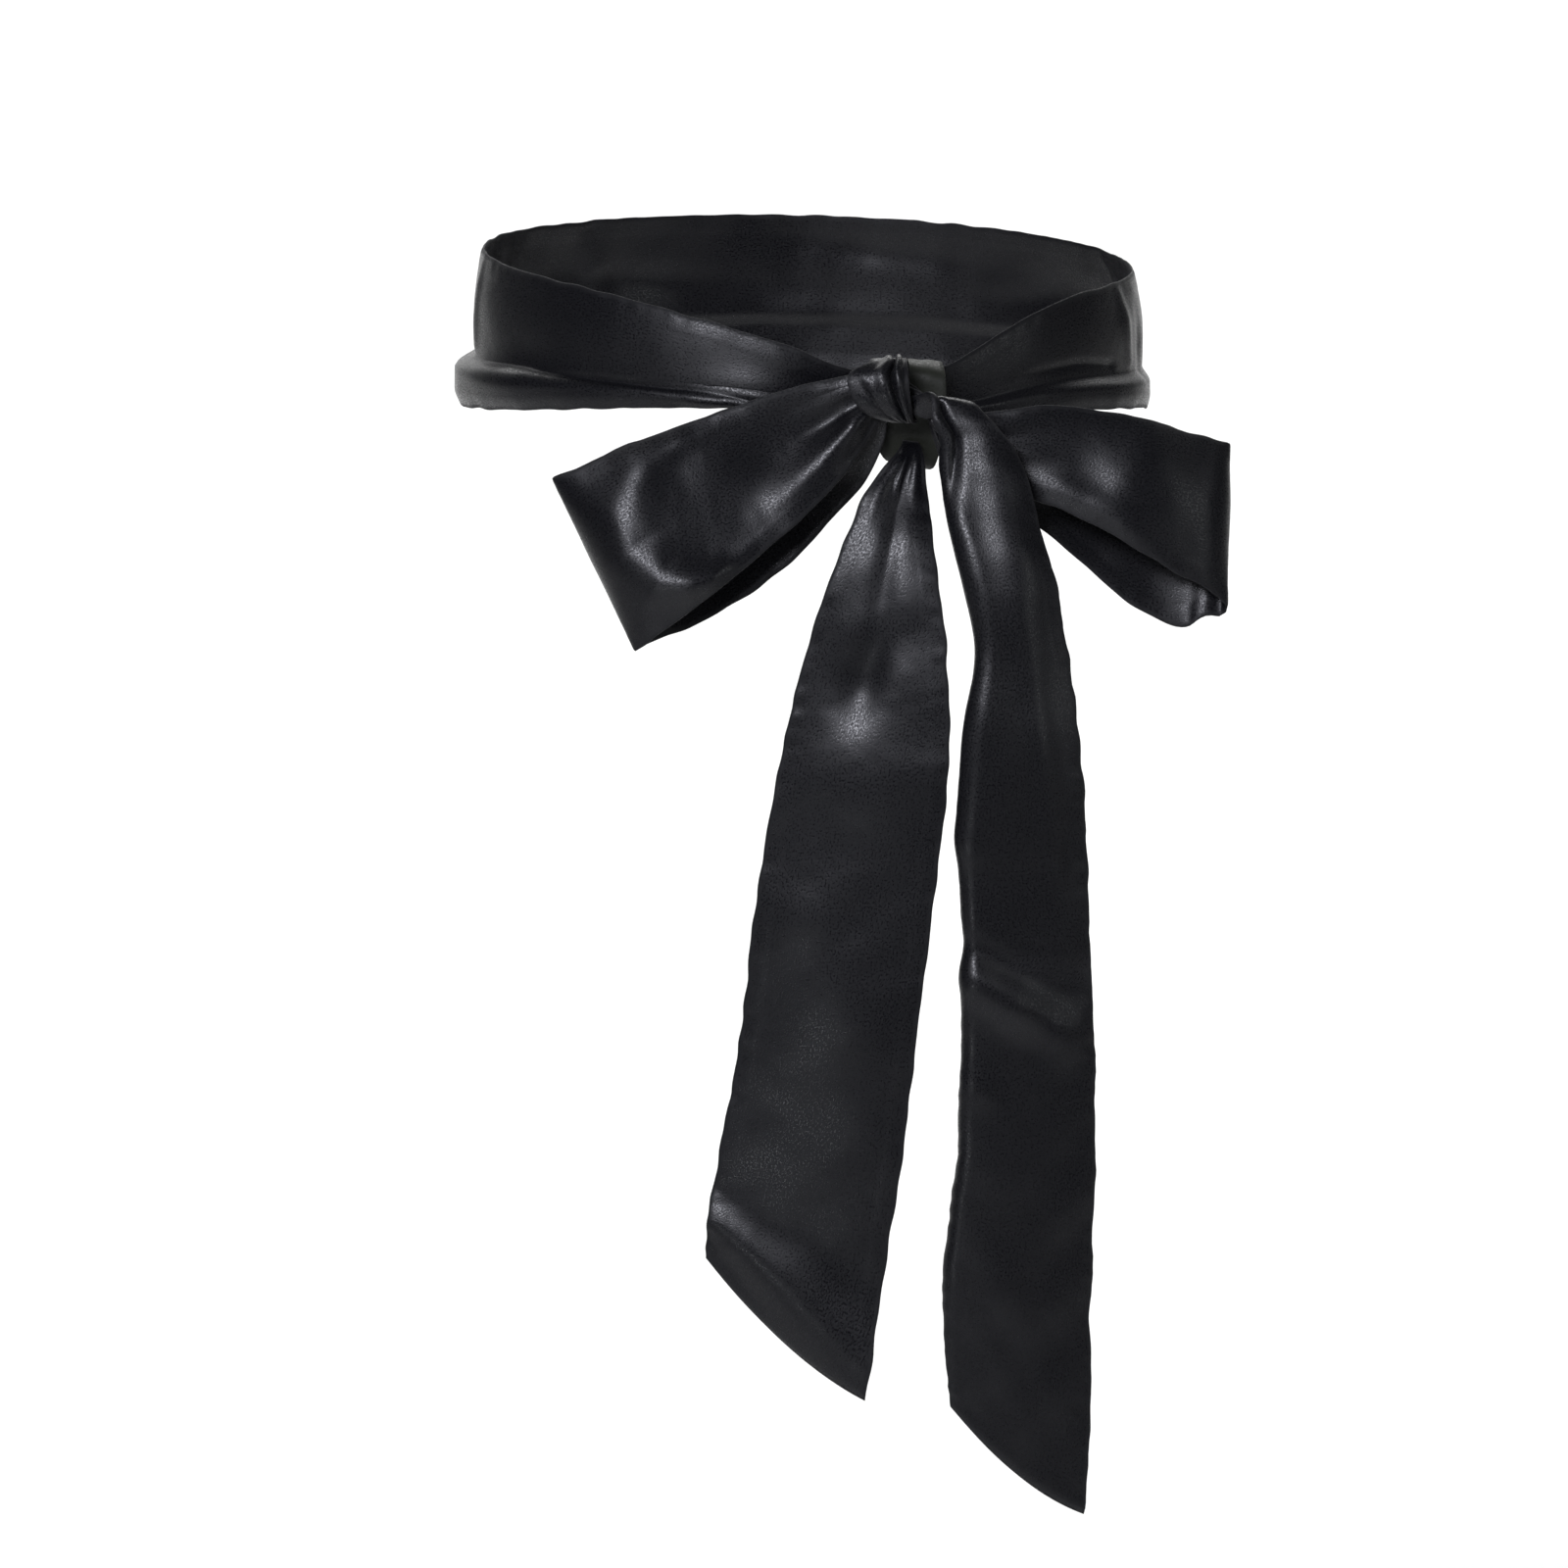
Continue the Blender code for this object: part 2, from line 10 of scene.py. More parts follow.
import bmesh
import bpy
import numpy as np
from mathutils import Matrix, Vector


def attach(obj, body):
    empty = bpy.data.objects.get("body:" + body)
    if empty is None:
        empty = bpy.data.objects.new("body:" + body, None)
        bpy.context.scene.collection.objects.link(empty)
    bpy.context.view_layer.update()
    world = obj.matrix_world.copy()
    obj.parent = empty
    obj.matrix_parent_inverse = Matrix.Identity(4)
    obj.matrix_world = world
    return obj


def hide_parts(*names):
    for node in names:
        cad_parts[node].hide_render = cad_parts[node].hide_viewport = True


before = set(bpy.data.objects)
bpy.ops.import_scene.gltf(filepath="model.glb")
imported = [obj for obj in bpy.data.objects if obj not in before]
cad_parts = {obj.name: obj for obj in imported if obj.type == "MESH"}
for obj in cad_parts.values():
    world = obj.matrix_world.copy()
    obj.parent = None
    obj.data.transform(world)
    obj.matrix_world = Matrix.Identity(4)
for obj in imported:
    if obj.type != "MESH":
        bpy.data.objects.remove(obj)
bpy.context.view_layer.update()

# Driving dimensions

WALL = 0.0012
WAIST_HALF_WIDTH = 0.1325
WAIST_HALF_DEPTH = 0.100
WAIST_SHIFT = 0.003
KNOT_HALF_DEPTH = 0.0085
KNOT_HALF_HEIGHT = 0.0120
KNOT_Y = -0.1190
KNOT_Z = -0.0003
TURN_STEPS = 4
CURL_RADIUS = 0.0035
TAIL_END_BOW = 0.0055
TAIL_END_LENGTH = 0.030

# Shape across the band, as shares of its width from the top edge down

LEAN_SHARE = 0.5
STEP_BEFORE_CREASE = 0.01
STEP_AFTER_CREASE = 0.10
TUCK_BEGIN = 0.88
TUCK_END = 1.04
TUCK_DEPTH = 0.4

# Tables. Places are metres, angles are degrees from the front towards +X.

BandRow = namedtuple("BandRow", "angle top bottom out lean step crease")
WrapRow = namedtuple("WrapRow", "angle left right")
Row = namedtuple("Row", "first last bulge curl")
Fold = namedtuple("Fold", "begin full fade end across_begin across_end height width")

# A band row has the heights of the two edges, how far the band stands out past the waist,
# how far its top edge leans in, how far the cloth below the crease steps out and where the
# crease lies, as a share of the width.

BAND_ROWS = [
    BandRow(20, 0.001, -0.018, -0.0030, 0.000, 0.0000, 0.70),
    BandRow(7, 0.004, -0.017, -0.0010, 0.000, 0.0005, 0.70),
    BandRow(-4, 0.014, -0.013, 0.0000, 0.001, 0.0010, 0.72),
    BandRow(-12, 0.019, -0.011, 0.0000, 0.002, 0.0020, 0.74),
    BandRow(-25, 0.0258, -0.012, 0.0000, 0.003, 0.0026, 0.74),
    BandRow(-40, 0.0308, -0.015, 0.0000, 0.004, 0.0036, 0.72),
    BandRow(-63, 0.0343, -0.021, 0.0000, 0.004, 0.0056, 0.69),
    BandRow(-90, 0.0360, -0.028, 0.0000, 0.004, 0.0080, 0.66),
    BandRow(-135, 0.0350, -0.032, 0.0000, 0.004, 0.0060, 0.64),
    BandRow(-180, 0.0330, -0.033, 0.0000, 0.003, 0.0030, 0.62),
    BandRow(-225, 0.0300, -0.033, 0.0000, 0.004, 0.0030, 0.64),
    BandRow(-270, 0.0270, -0.029, 0.0000, 0.004, 0.0030, 0.70),
    BandRow(-293, 0.027, -0.022, 0.0000, 0.004, 0.0050, 0.72),
    BandRow(-308, 0.026, -0.0185, 0.0000, 0.003, 0.0036, 0.72),
    BandRow(-322, 0.019, -0.0180, 0.0005, 0.002, 0.0022, 0.70),
    BandRow(-331, 0.0105, -0.0180, 0.0015, 0.001, 0.0020, 0.70),
    BandRow(-338, 0.0045, -0.0170, 0.0025, 0.000, 0.0010, 0.70),
    BandRow(-343, 0.0030, -0.015, 0.0030, 0.000, 0.0005, 0.74),
    BandRow(-351, 0.0020, -0.016, 0.0030, 0.000, 0.0000, 0.72),
]

# A wrap row has the two edges' places along X. Its angle runs from the top over the front.

WRAP_ROWS = [
    WrapRow(0, 0.0265, 0.0400),
    WrapRow(22, 0.0250, 0.0402),
    WrapRow(45, 0.0188, 0.0405),
    WrapRow(90, 0.0188, 0.0412),
    WrapRow(120, 0.0230, 0.0420),
    WrapRow(150, 0.0305, 0.0426),
    WrapRow(180, 0.0375, 0.0440),
    WrapRow(225, 0.0360, 0.0428),
    WrapRow(270, 0.0320, 0.0415),
    WrapRow(320, 0.0280, 0.0410),
    WrapRow(360, 0.0265, 0.0400),
]

# Front rows of a loop run from the knot to the loop's end, back rows from there to the knot.
# First is the top edge, last the bottom edge.

LOOP_LEFT_FRONT = [
    Row((0.0370, -0.1190, 0.0062), (0.0370, -0.1190, -0.0082), 0.000, 0.0),
    Row((0.0290, -0.1194, 0.0072), (0.0320, -0.1200, -0.0098), 0.000, 0.0),
    Row((0.0190, -0.1200, 0.0068), (0.0245, -0.1235, -0.0200), 0.001, 0.0),
    Row((0.0000, -0.1215, 0.0025), (0.0140, -0.1300, -0.0335), 0.000, 0.0),
    Row((-0.0270, -0.1215, -0.0062), (-0.0060, -0.1380, -0.0517), 0.001, 0.0),
    Row((-0.0490, -0.1225, -0.0146), (-0.0280, -0.1430, -0.0695), 0.004, 0.0),
    Row((-0.0709, -0.1240, -0.0225), (-0.0480, -0.1455, -0.0846), 0.006, 0.0),
    Row((-0.0933, -0.1230, -0.0331), (-0.0619, -0.1430, -0.0959), 0.001, 0.0),
]

LOOP_LEFT_BACK = [
    Row((-0.0933, -0.1200, -0.0331), (-0.0614, -0.1400, -0.0959), 0.000, 0.0),
    Row((-0.0700, -0.1120, -0.0258), (-0.0430, -0.1325, -0.0899), 0.002, 0.0),
    Row((-0.0480, -0.1080, -0.0185), (-0.0210, -0.1265, -0.0785), 0.003, 0.0),
    Row((-0.0260, -0.1070, -0.0110), (-0.0020, -0.1205, -0.0650), 0.003, 0.0),
    Row((0.0000, -0.1085, -0.0030), (0.0140, -0.1150, -0.0480), 0.002, 0.0),
    Row((0.0180, -0.1115, 0.0020), (0.0250, -0.1130, -0.0360), 0.000, 0.0),
    Row((0.0260, -0.1138, 0.0040), (0.0318, -0.1140, -0.0200), 0.000, 0.0),
    Row((0.0300, -0.1150, 0.0048), (0.0340, -0.1152, -0.0088), 0.000, 0.0),
    Row((0.0370, -0.1153, 0.0048), (0.0370, -0.1153, -0.0068), 0.000, 0.0),
]

LOOP_RIGHT_FRONT = [
    Row((0.0310, -0.1172, 0.0060), (0.0310, -0.1172, -0.0080), 0.000, 0.0),
    Row((0.0450, -0.1178, -0.0010), (0.0460, -0.1180, -0.0100), 0.000, 0.0),
    Row((0.0540, -0.1180, -0.0060), (0.0530, -0.1190, -0.0175), 0.001, 0.0),
    Row((0.0680, -0.1170, -0.0092), (0.0660, -0.1200, -0.0300), 0.001, 0.0),
    Row((0.0880, -0.1170, -0.0065), (0.0820, -0.1230, -0.0390), 0.001, 0.0),
    Row((0.1080, -0.1150, -0.0068), (0.1000, -0.1280, -0.0455), 0.003, 0.0),
    Row((0.1309, -0.1125, -0.0112), (0.1210, -0.1300, -0.0560), 0.007, 0.0),
    Row((0.1489, -0.1075, -0.0187), (0.1419, -0.1280, -0.0688), 0.005, 0.0),
    Row((0.1630, -0.1020, -0.0238), (0.1612, -0.1210, -0.0820), 0.001, 0.0),
]

LOOP_RIGHT_BACK = [
    Row((0.1630, -0.0990, -0.0238), (0.1575, -0.1180, -0.0880), 0.000, 0.0),
    Row((0.1480, -0.0990, -0.0215), (0.1475, -0.1165, -0.0930), 0.001, 0.0),
    Row((0.1310, -0.1010, -0.0165), (0.1280, -0.1140, -0.0855), 0.002, 0.0),
    Row((0.1080, -0.1040, -0.0120), (0.1080, -0.1115, -0.0690), 0.003, 0.0),
    Row((0.0880, -0.1070, -0.0110), (0.0900, -0.1095, -0.0545), 0.002, 0.0),
    Row((0.0680, -0.1095, -0.0110), (0.0690, -0.1105, -0.0420), 0.001, 0.0),
    Row((0.0540, -0.1115, -0.0080), (0.0550, -0.1120, -0.0330), 0.000, 0.0),
    Row((0.0490, -0.1125, -0.0045), (0.0505, -0.1128, -0.0205), 0.000, 0.0),
    Row((0.0455, -0.1132, -0.0012), (0.0470, -0.1133, -0.0100), 0.000, 0.0),
    Row((0.0405, -0.1136, 0.0022), (0.0415, -0.1136, -0.0048), 0.000, 0.0),
    Row((0.0330, -0.1136, 0.0035), (0.0330, -0.1136, -0.0045), 0.000, 0.0),
]

# Rows of a tail run from the knot down. First is its left edge, last its right edge.

TAIL_LEFT_ROWS = [
    Row((0.0390, -0.1097, -0.0215), (0.0450, -0.1097, -0.0220), 0.000, 0.0),
    Row((0.0370, -0.1150, -0.0230), (0.0460, -0.1150, -0.0240), 0.000, 0.0),
    Row((0.0350, -0.1190, -0.0262), (0.0468, -0.1190, -0.0280), 0.000, 0.0),
    Row((0.0275, -0.1230, -0.0340), (0.0475, -0.1215, -0.0360), 0.0004, 0.0),
    Row((0.0165, -0.1310, -0.0572), (0.0500, -0.1320, -0.0568), 0.0012, 0.0),
    Row((0.0010, -0.1400, -0.1005), (0.0551, -0.1450, -0.0953), 0.0020, 0.0),
    Row((-0.0085, -0.1470, -0.1406), (0.0562, -0.1535, -0.1339), 0.0026, 0.0),
    Row((-0.0172, -0.1542, -0.1918), (0.0512, -0.1615, -0.1837), 0.0028, 0.0),
    Row((-0.0234, -0.1607, -0.2438), (0.0446, -0.1685, -0.2366), 0.0030, 0.0),
    Row((-0.0322, -0.1680, -0.2918), (0.0379, -0.1755, -0.2936), 0.003, 0.0),
    Row((-0.0357, -0.1715, -0.3136), (0.0314, -0.1800, -0.3357), 0.002, 0.0),
    Row((-0.0368, -0.1740, -0.3280), (0.0250, -0.1850, -0.3814), 0.000, 0.0),
]

TAIL_RIGHT_ROWS = [
    Row((0.0370, -0.1213, -0.0020), (0.0370, -0.1213, -0.0085), 0.000, 0.0),
    Row((0.0415, -0.1228, -0.0015), (0.0420, -0.1222, -0.0091), 0.000, 0.0),
    Row((0.0442, -0.1245, -0.0008), (0.0475, -0.1220, -0.0108), 0.000, 0.0),
    Row((0.0466, -0.1266, -0.0002), (0.0540, -0.1228, -0.0082), 0.000, 0.0),
    Row((0.0488, -0.1292, -0.0005), (0.0630, -0.1252, -0.0040), 0.000, 0.0),
    Row((0.0492, -0.1315, -0.0075), (0.0705, -0.1286, -0.0088), 0.000, 0.001),
    Row((0.0534, -0.1335, -0.0155), (0.0790, -0.1295, -0.0190), 0.001, 0.004),
    Row((0.0550, -0.1365, -0.0252), (0.0844, -0.1315, -0.0307), 0.002, 0.008),
    Row((0.0571, -0.1415, -0.0382), (0.0883, -0.1355, -0.0452), 0.0005, 0.011),
    Row((0.0647, -0.1505, -0.0662), (0.0951, -0.1425, -0.0702), 0.0010, 0.013),
    Row((0.0692, -0.1565, -0.0896), (0.0993, -0.1465, -0.0906), 0.0012, 0.014),
    Row((0.0657, -0.1630, -0.1174), (0.1035, -0.1510, -0.1184), 0.0018, 0.013),
    Row((0.0617, -0.1695, -0.1635), (0.1080, -0.1565, -0.1675), 0.0024, 0.011),
    Row((0.0627, -0.1745, -0.2066), (0.1104, -0.1625, -0.2126), 0.0030, 0.010),
    Row((0.0618, -0.1785, -0.2528), (0.1124, -0.1675, -0.2598), 0.0036, 0.009),
    Row((0.0603, -0.1815, -0.2890), (0.1125, -0.1715, -0.3029), 0.0040, 0.008),
    Row((0.0559, -0.1840, -0.3262), (0.1112, -0.1755, -0.3501), 0.0040, 0.006),
    Row((0.0554, -0.1865, -0.3585), (0.1116, -0.1800, -0.3934), 0.0035, 0.004),
    Row((0.0574, -0.1880, -0.3836), (0.1093, -0.1850, -0.4285), 0.002, 0.002),
]

# Rows of the crossing run down behind the wrap. First is its left edge, last its right edge.

CROSSING_ROWS = [
    Row((0.0370, -0.0960, 0.0062), (0.0530, -0.0915, 0.0059), 0.000, 0.0),
    Row((0.0362, -0.1025, 0.0085), (0.0542, -0.0985, 0.0062), 0.000, 0.0),
    Row((0.0350, -0.1074, 0.0070), (0.0550, -0.1045, 0.0030), 0.000, 0.0),
    Row((0.0330, -0.1080, -0.0015), (0.0553, -0.1070, -0.0050), 0.000, 0.0),
    Row((0.0300, -0.1080, -0.0120), (0.0545, -0.1075, -0.0160), 0.000, 0.0),
    Row((0.0292, -0.1072, -0.0240), (0.0530, -0.1072, -0.0264), 0.000, 0.0),
    Row((0.0322, -0.1040, -0.0298), (0.0508, -0.1040, -0.0330), 0.000, 0.0),
    Row((0.0365, -0.0985, -0.0318), (0.0480, -0.0985, -0.0344), 0.000, 0.0),
]

# Folds of a strip are measured in metres along from its first row. Folds of the band and the
# wrap are measured as shares of their whole length. Across runs from 0 to 1.

CROSSING_FOLDS = [
    Fold(-0.010, 0.000, 0.030, 0.050, 0.30, 0.35, 0.0004, 0.16),
    Fold(-0.010, 0.000, 0.030, 0.050, 0.70, 0.65, 0.0004, 0.16),
]

LOOP_LEFT_FOLDS = [
    Fold(0.006, 0.014, 0.022, 0.050, 0.18, 0.10, 0.0012, 0.10),
    Fold(0.006, 0.014, 0.018, 0.045, 0.40, 0.44, -0.0014, 0.12),
    Fold(0.150, 0.180, 0.215, 0.238, 0.45, 0.45, 0.0022, 0.14),
]

LOOP_RIGHT_FOLDS = [
    Fold(0.012, 0.025, 0.040, 0.070, 0.22, 0.18, 0.0012, 0.10),
    Fold(0.012, 0.025, 0.050, 0.080, 0.55, 0.50, 0.0014, 0.11),
    Fold(0.160, 0.190, 0.225, 0.245, 0.50, 0.50, 0.0022, 0.14),
]

TAIL_LEFT_FOLDS = [
    Fold(0.004, 0.012, 0.020, 0.045, 0.26, 0.20, 0.0010, 0.09),
    Fold(0.010, 0.034, 0.090, 0.125, 0.56, 0.46, -0.0013, 0.12),
    Fold(0.006, 0.012, 0.018, 0.034, 0.74, 0.80, 0.0009, 0.07),
]

TAIL_RIGHT_FOLDS = [
    Fold(0.014, 0.024, 0.050, 0.080, 0.24, 0.20, -0.0026, 0.07),
    Fold(0.020, 0.045, 0.090, 0.160, 0.66, 0.62, 0.0008, 0.20),
]

WRAP_FOLDS = [
    Fold(-0.30, 0.04, 0.34, 0.50, 0.36, 0.72, 0.0014, 0.12),
    Fold(-0.30, 0.02, 0.34, 0.50, 0.54, 0.84, -0.0030, 0.05),
    Fold(-0.30, 0.02, 0.34, 0.50, 0.68, 0.92, 0.0018, 0.07),
    Fold(0.14, 0.24, 0.34, 0.50, 0.24, 0.56, -0.0007, 0.05),
]

BAND_FOLDS = [
    Fold(0.00, 0.03, 0.05, 0.10, 0.25, 0.22, 0.0006, 0.16),
    Fold(0.62, 0.68, 0.74, 0.80, 0.30, 0.36, 0.0010, 0.12),
    Fold(0.60, 0.68, 0.72, 0.78, 0.70, 0.60, 0.0010, 0.10),
]

# The double cloth is rounded at its edges and thicker along them, where the seam is turned in.
# Pairs of distances from the edge say where a change begins and where it is complete.

CLOTH = 0.0009
EDGE_ROUND = 0.0007
THINNEST = 0.00012
SEAM_EXTRA = 0.00022
SEAM_RISE = (0.0004, 0.0016)
SEAM_FALL = (0.0060, 0.0082)
PRESSED_FALL = (0.0006, 0.0022)
FULL_WIDTH = 0.060

# Steps of the grids

FINE_STEP = 0.0021
WRAP_STEPS = 150
BAND_STEPS = 400

# Shares across a stretch, close together at both edges

EDGE_SHARES = [0.0, 0.003, 0.007, 0.012, 0.020, 0.032, 0.050]
INNER_SHARES = list(np.linspace(0.05, 0.95, 57)[1:-1])
ACROSS = np.array(EDGE_SHARES + INNER_SHARES + [1.0 - share for share in EDGE_SHARES[::-1]])

# Unevenness of the cloth. Broad and small are the heights of two sets of waves all over it, pucker
# the height of the seam's puckers and drift the waver of its edge. Pitches are along and across.

Weather = namedtuple("Weather", "seed pucker drift broad small")

WAVE_COUNT = 14
PITCH_RANGE_ALONG = (0.6, 1.8)
PITCH_RANGE_ACROSS = (0.2, 1.8)
BROAD_PITCH = (0.045, 0.040)
SMALL_PITCH = (0.011, 0.012)
PUCKER_PITCH = 0.011
DRIFT_PITCH = 0.026
EDGE_REACH = 0.0045
NARROWEST_SCALE = 0.1
SMALL_SEED = 100
PUCKER_SEED = 31
DRIFT_SEED = 57

WEATHER = {
    "waist_band": Weather(3, 0.00010, 0.00025, 0.00016, 0.00002),
    "knot_crossing": Weather(5, 0.00001, 0.00004, 0.00005, 0.00001),
    "knot_wrap": Weather(7, 0.00001, 0.00004, 0.00005, 0.00001),
    "loop_left": Weather(11, 0.00010, 0.00025, 0.00014, 0.00002),
    "loop_right": Weather(13, 0.00010, 0.00025, 0.00014, 0.00002),
    "tail_left": Weather(17, 0.00016, 0.00030, 0.00018, 0.00002),
    "tail_right": Weather(19, 0.00016, 0.00030, 0.00018, 0.00002),
}

# A dent or swell of the cloth is measured in metres along from the stretch's first row and as a
# share across it. Reach is its half length, spread its half width, turn its slant in degrees.

Dent = namedtuple("Dent", "along across reach spread turn height")

DENTS = {
    "waist_band": [
        Dent(0.070, 0.72, 0.030, 0.008, 0, 0.0020),
        Dent(0.174, 0.80, 0.025, 0.008, 0, 0.0040),
    ],
    "knot_crossing": [],
    "knot_wrap": [
        Dent(0.0235, 0.20, 0.0060, 0.0070, 0, 0.0020),
    ],
    "loop_left": [
        Dent(0.040, 0.36, 0.028, 0.015, 6, -0.0054),
    ],
    "loop_right": [
        Dent(0.092, 0.50, 0.028, 0.030, 0, -0.0042),
        Dent(0.136, 0.36, 0.018, 0.020, 0, 0.0014),
    ],
    "tail_left": [
        Dent(0.100, 0.42, 0.014, 0.009, 0, -0.0026),
        Dent(0.050, 0.50, 0.036, 0.040, 0, 0.0026),
        Dent(0.134, 0.62, 0.021, 0.030, 0, 0.0014),
        Dent(0.190, 0.30, 0.022, 0.022, 15, 0.0022),
        Dent(0.228, 0.55, 0.028, 0.024, 15, 0.0034),
    ],
    "tail_right": [
        Dent(0.092, 0.45, 0.034, 0.050, 0, 0.0030),
        Dent(0.074, 0.70, 0.042, 0.011, -3, 0.0036),
        Dent(0.165, 0.50, 0.040, 0.040, 0, 0.0034),
        Dent(0.195, 0.12, 0.010, 0.006, 50, 0.0010),
        Dent(0.290, 0.20, 0.010, 0.007, 50, 0.0009),
        Dent(0.372, 0.40, 0.016, 0.026, 20, 0.0012),
    ],
}

# A crease is a line of points on the cloth, each with its own height and half width, so that it
# starts and ends softly. Heights above 0 are ridges and below 0 troughs.

Point = namedtuple("Point", "along across height spread")

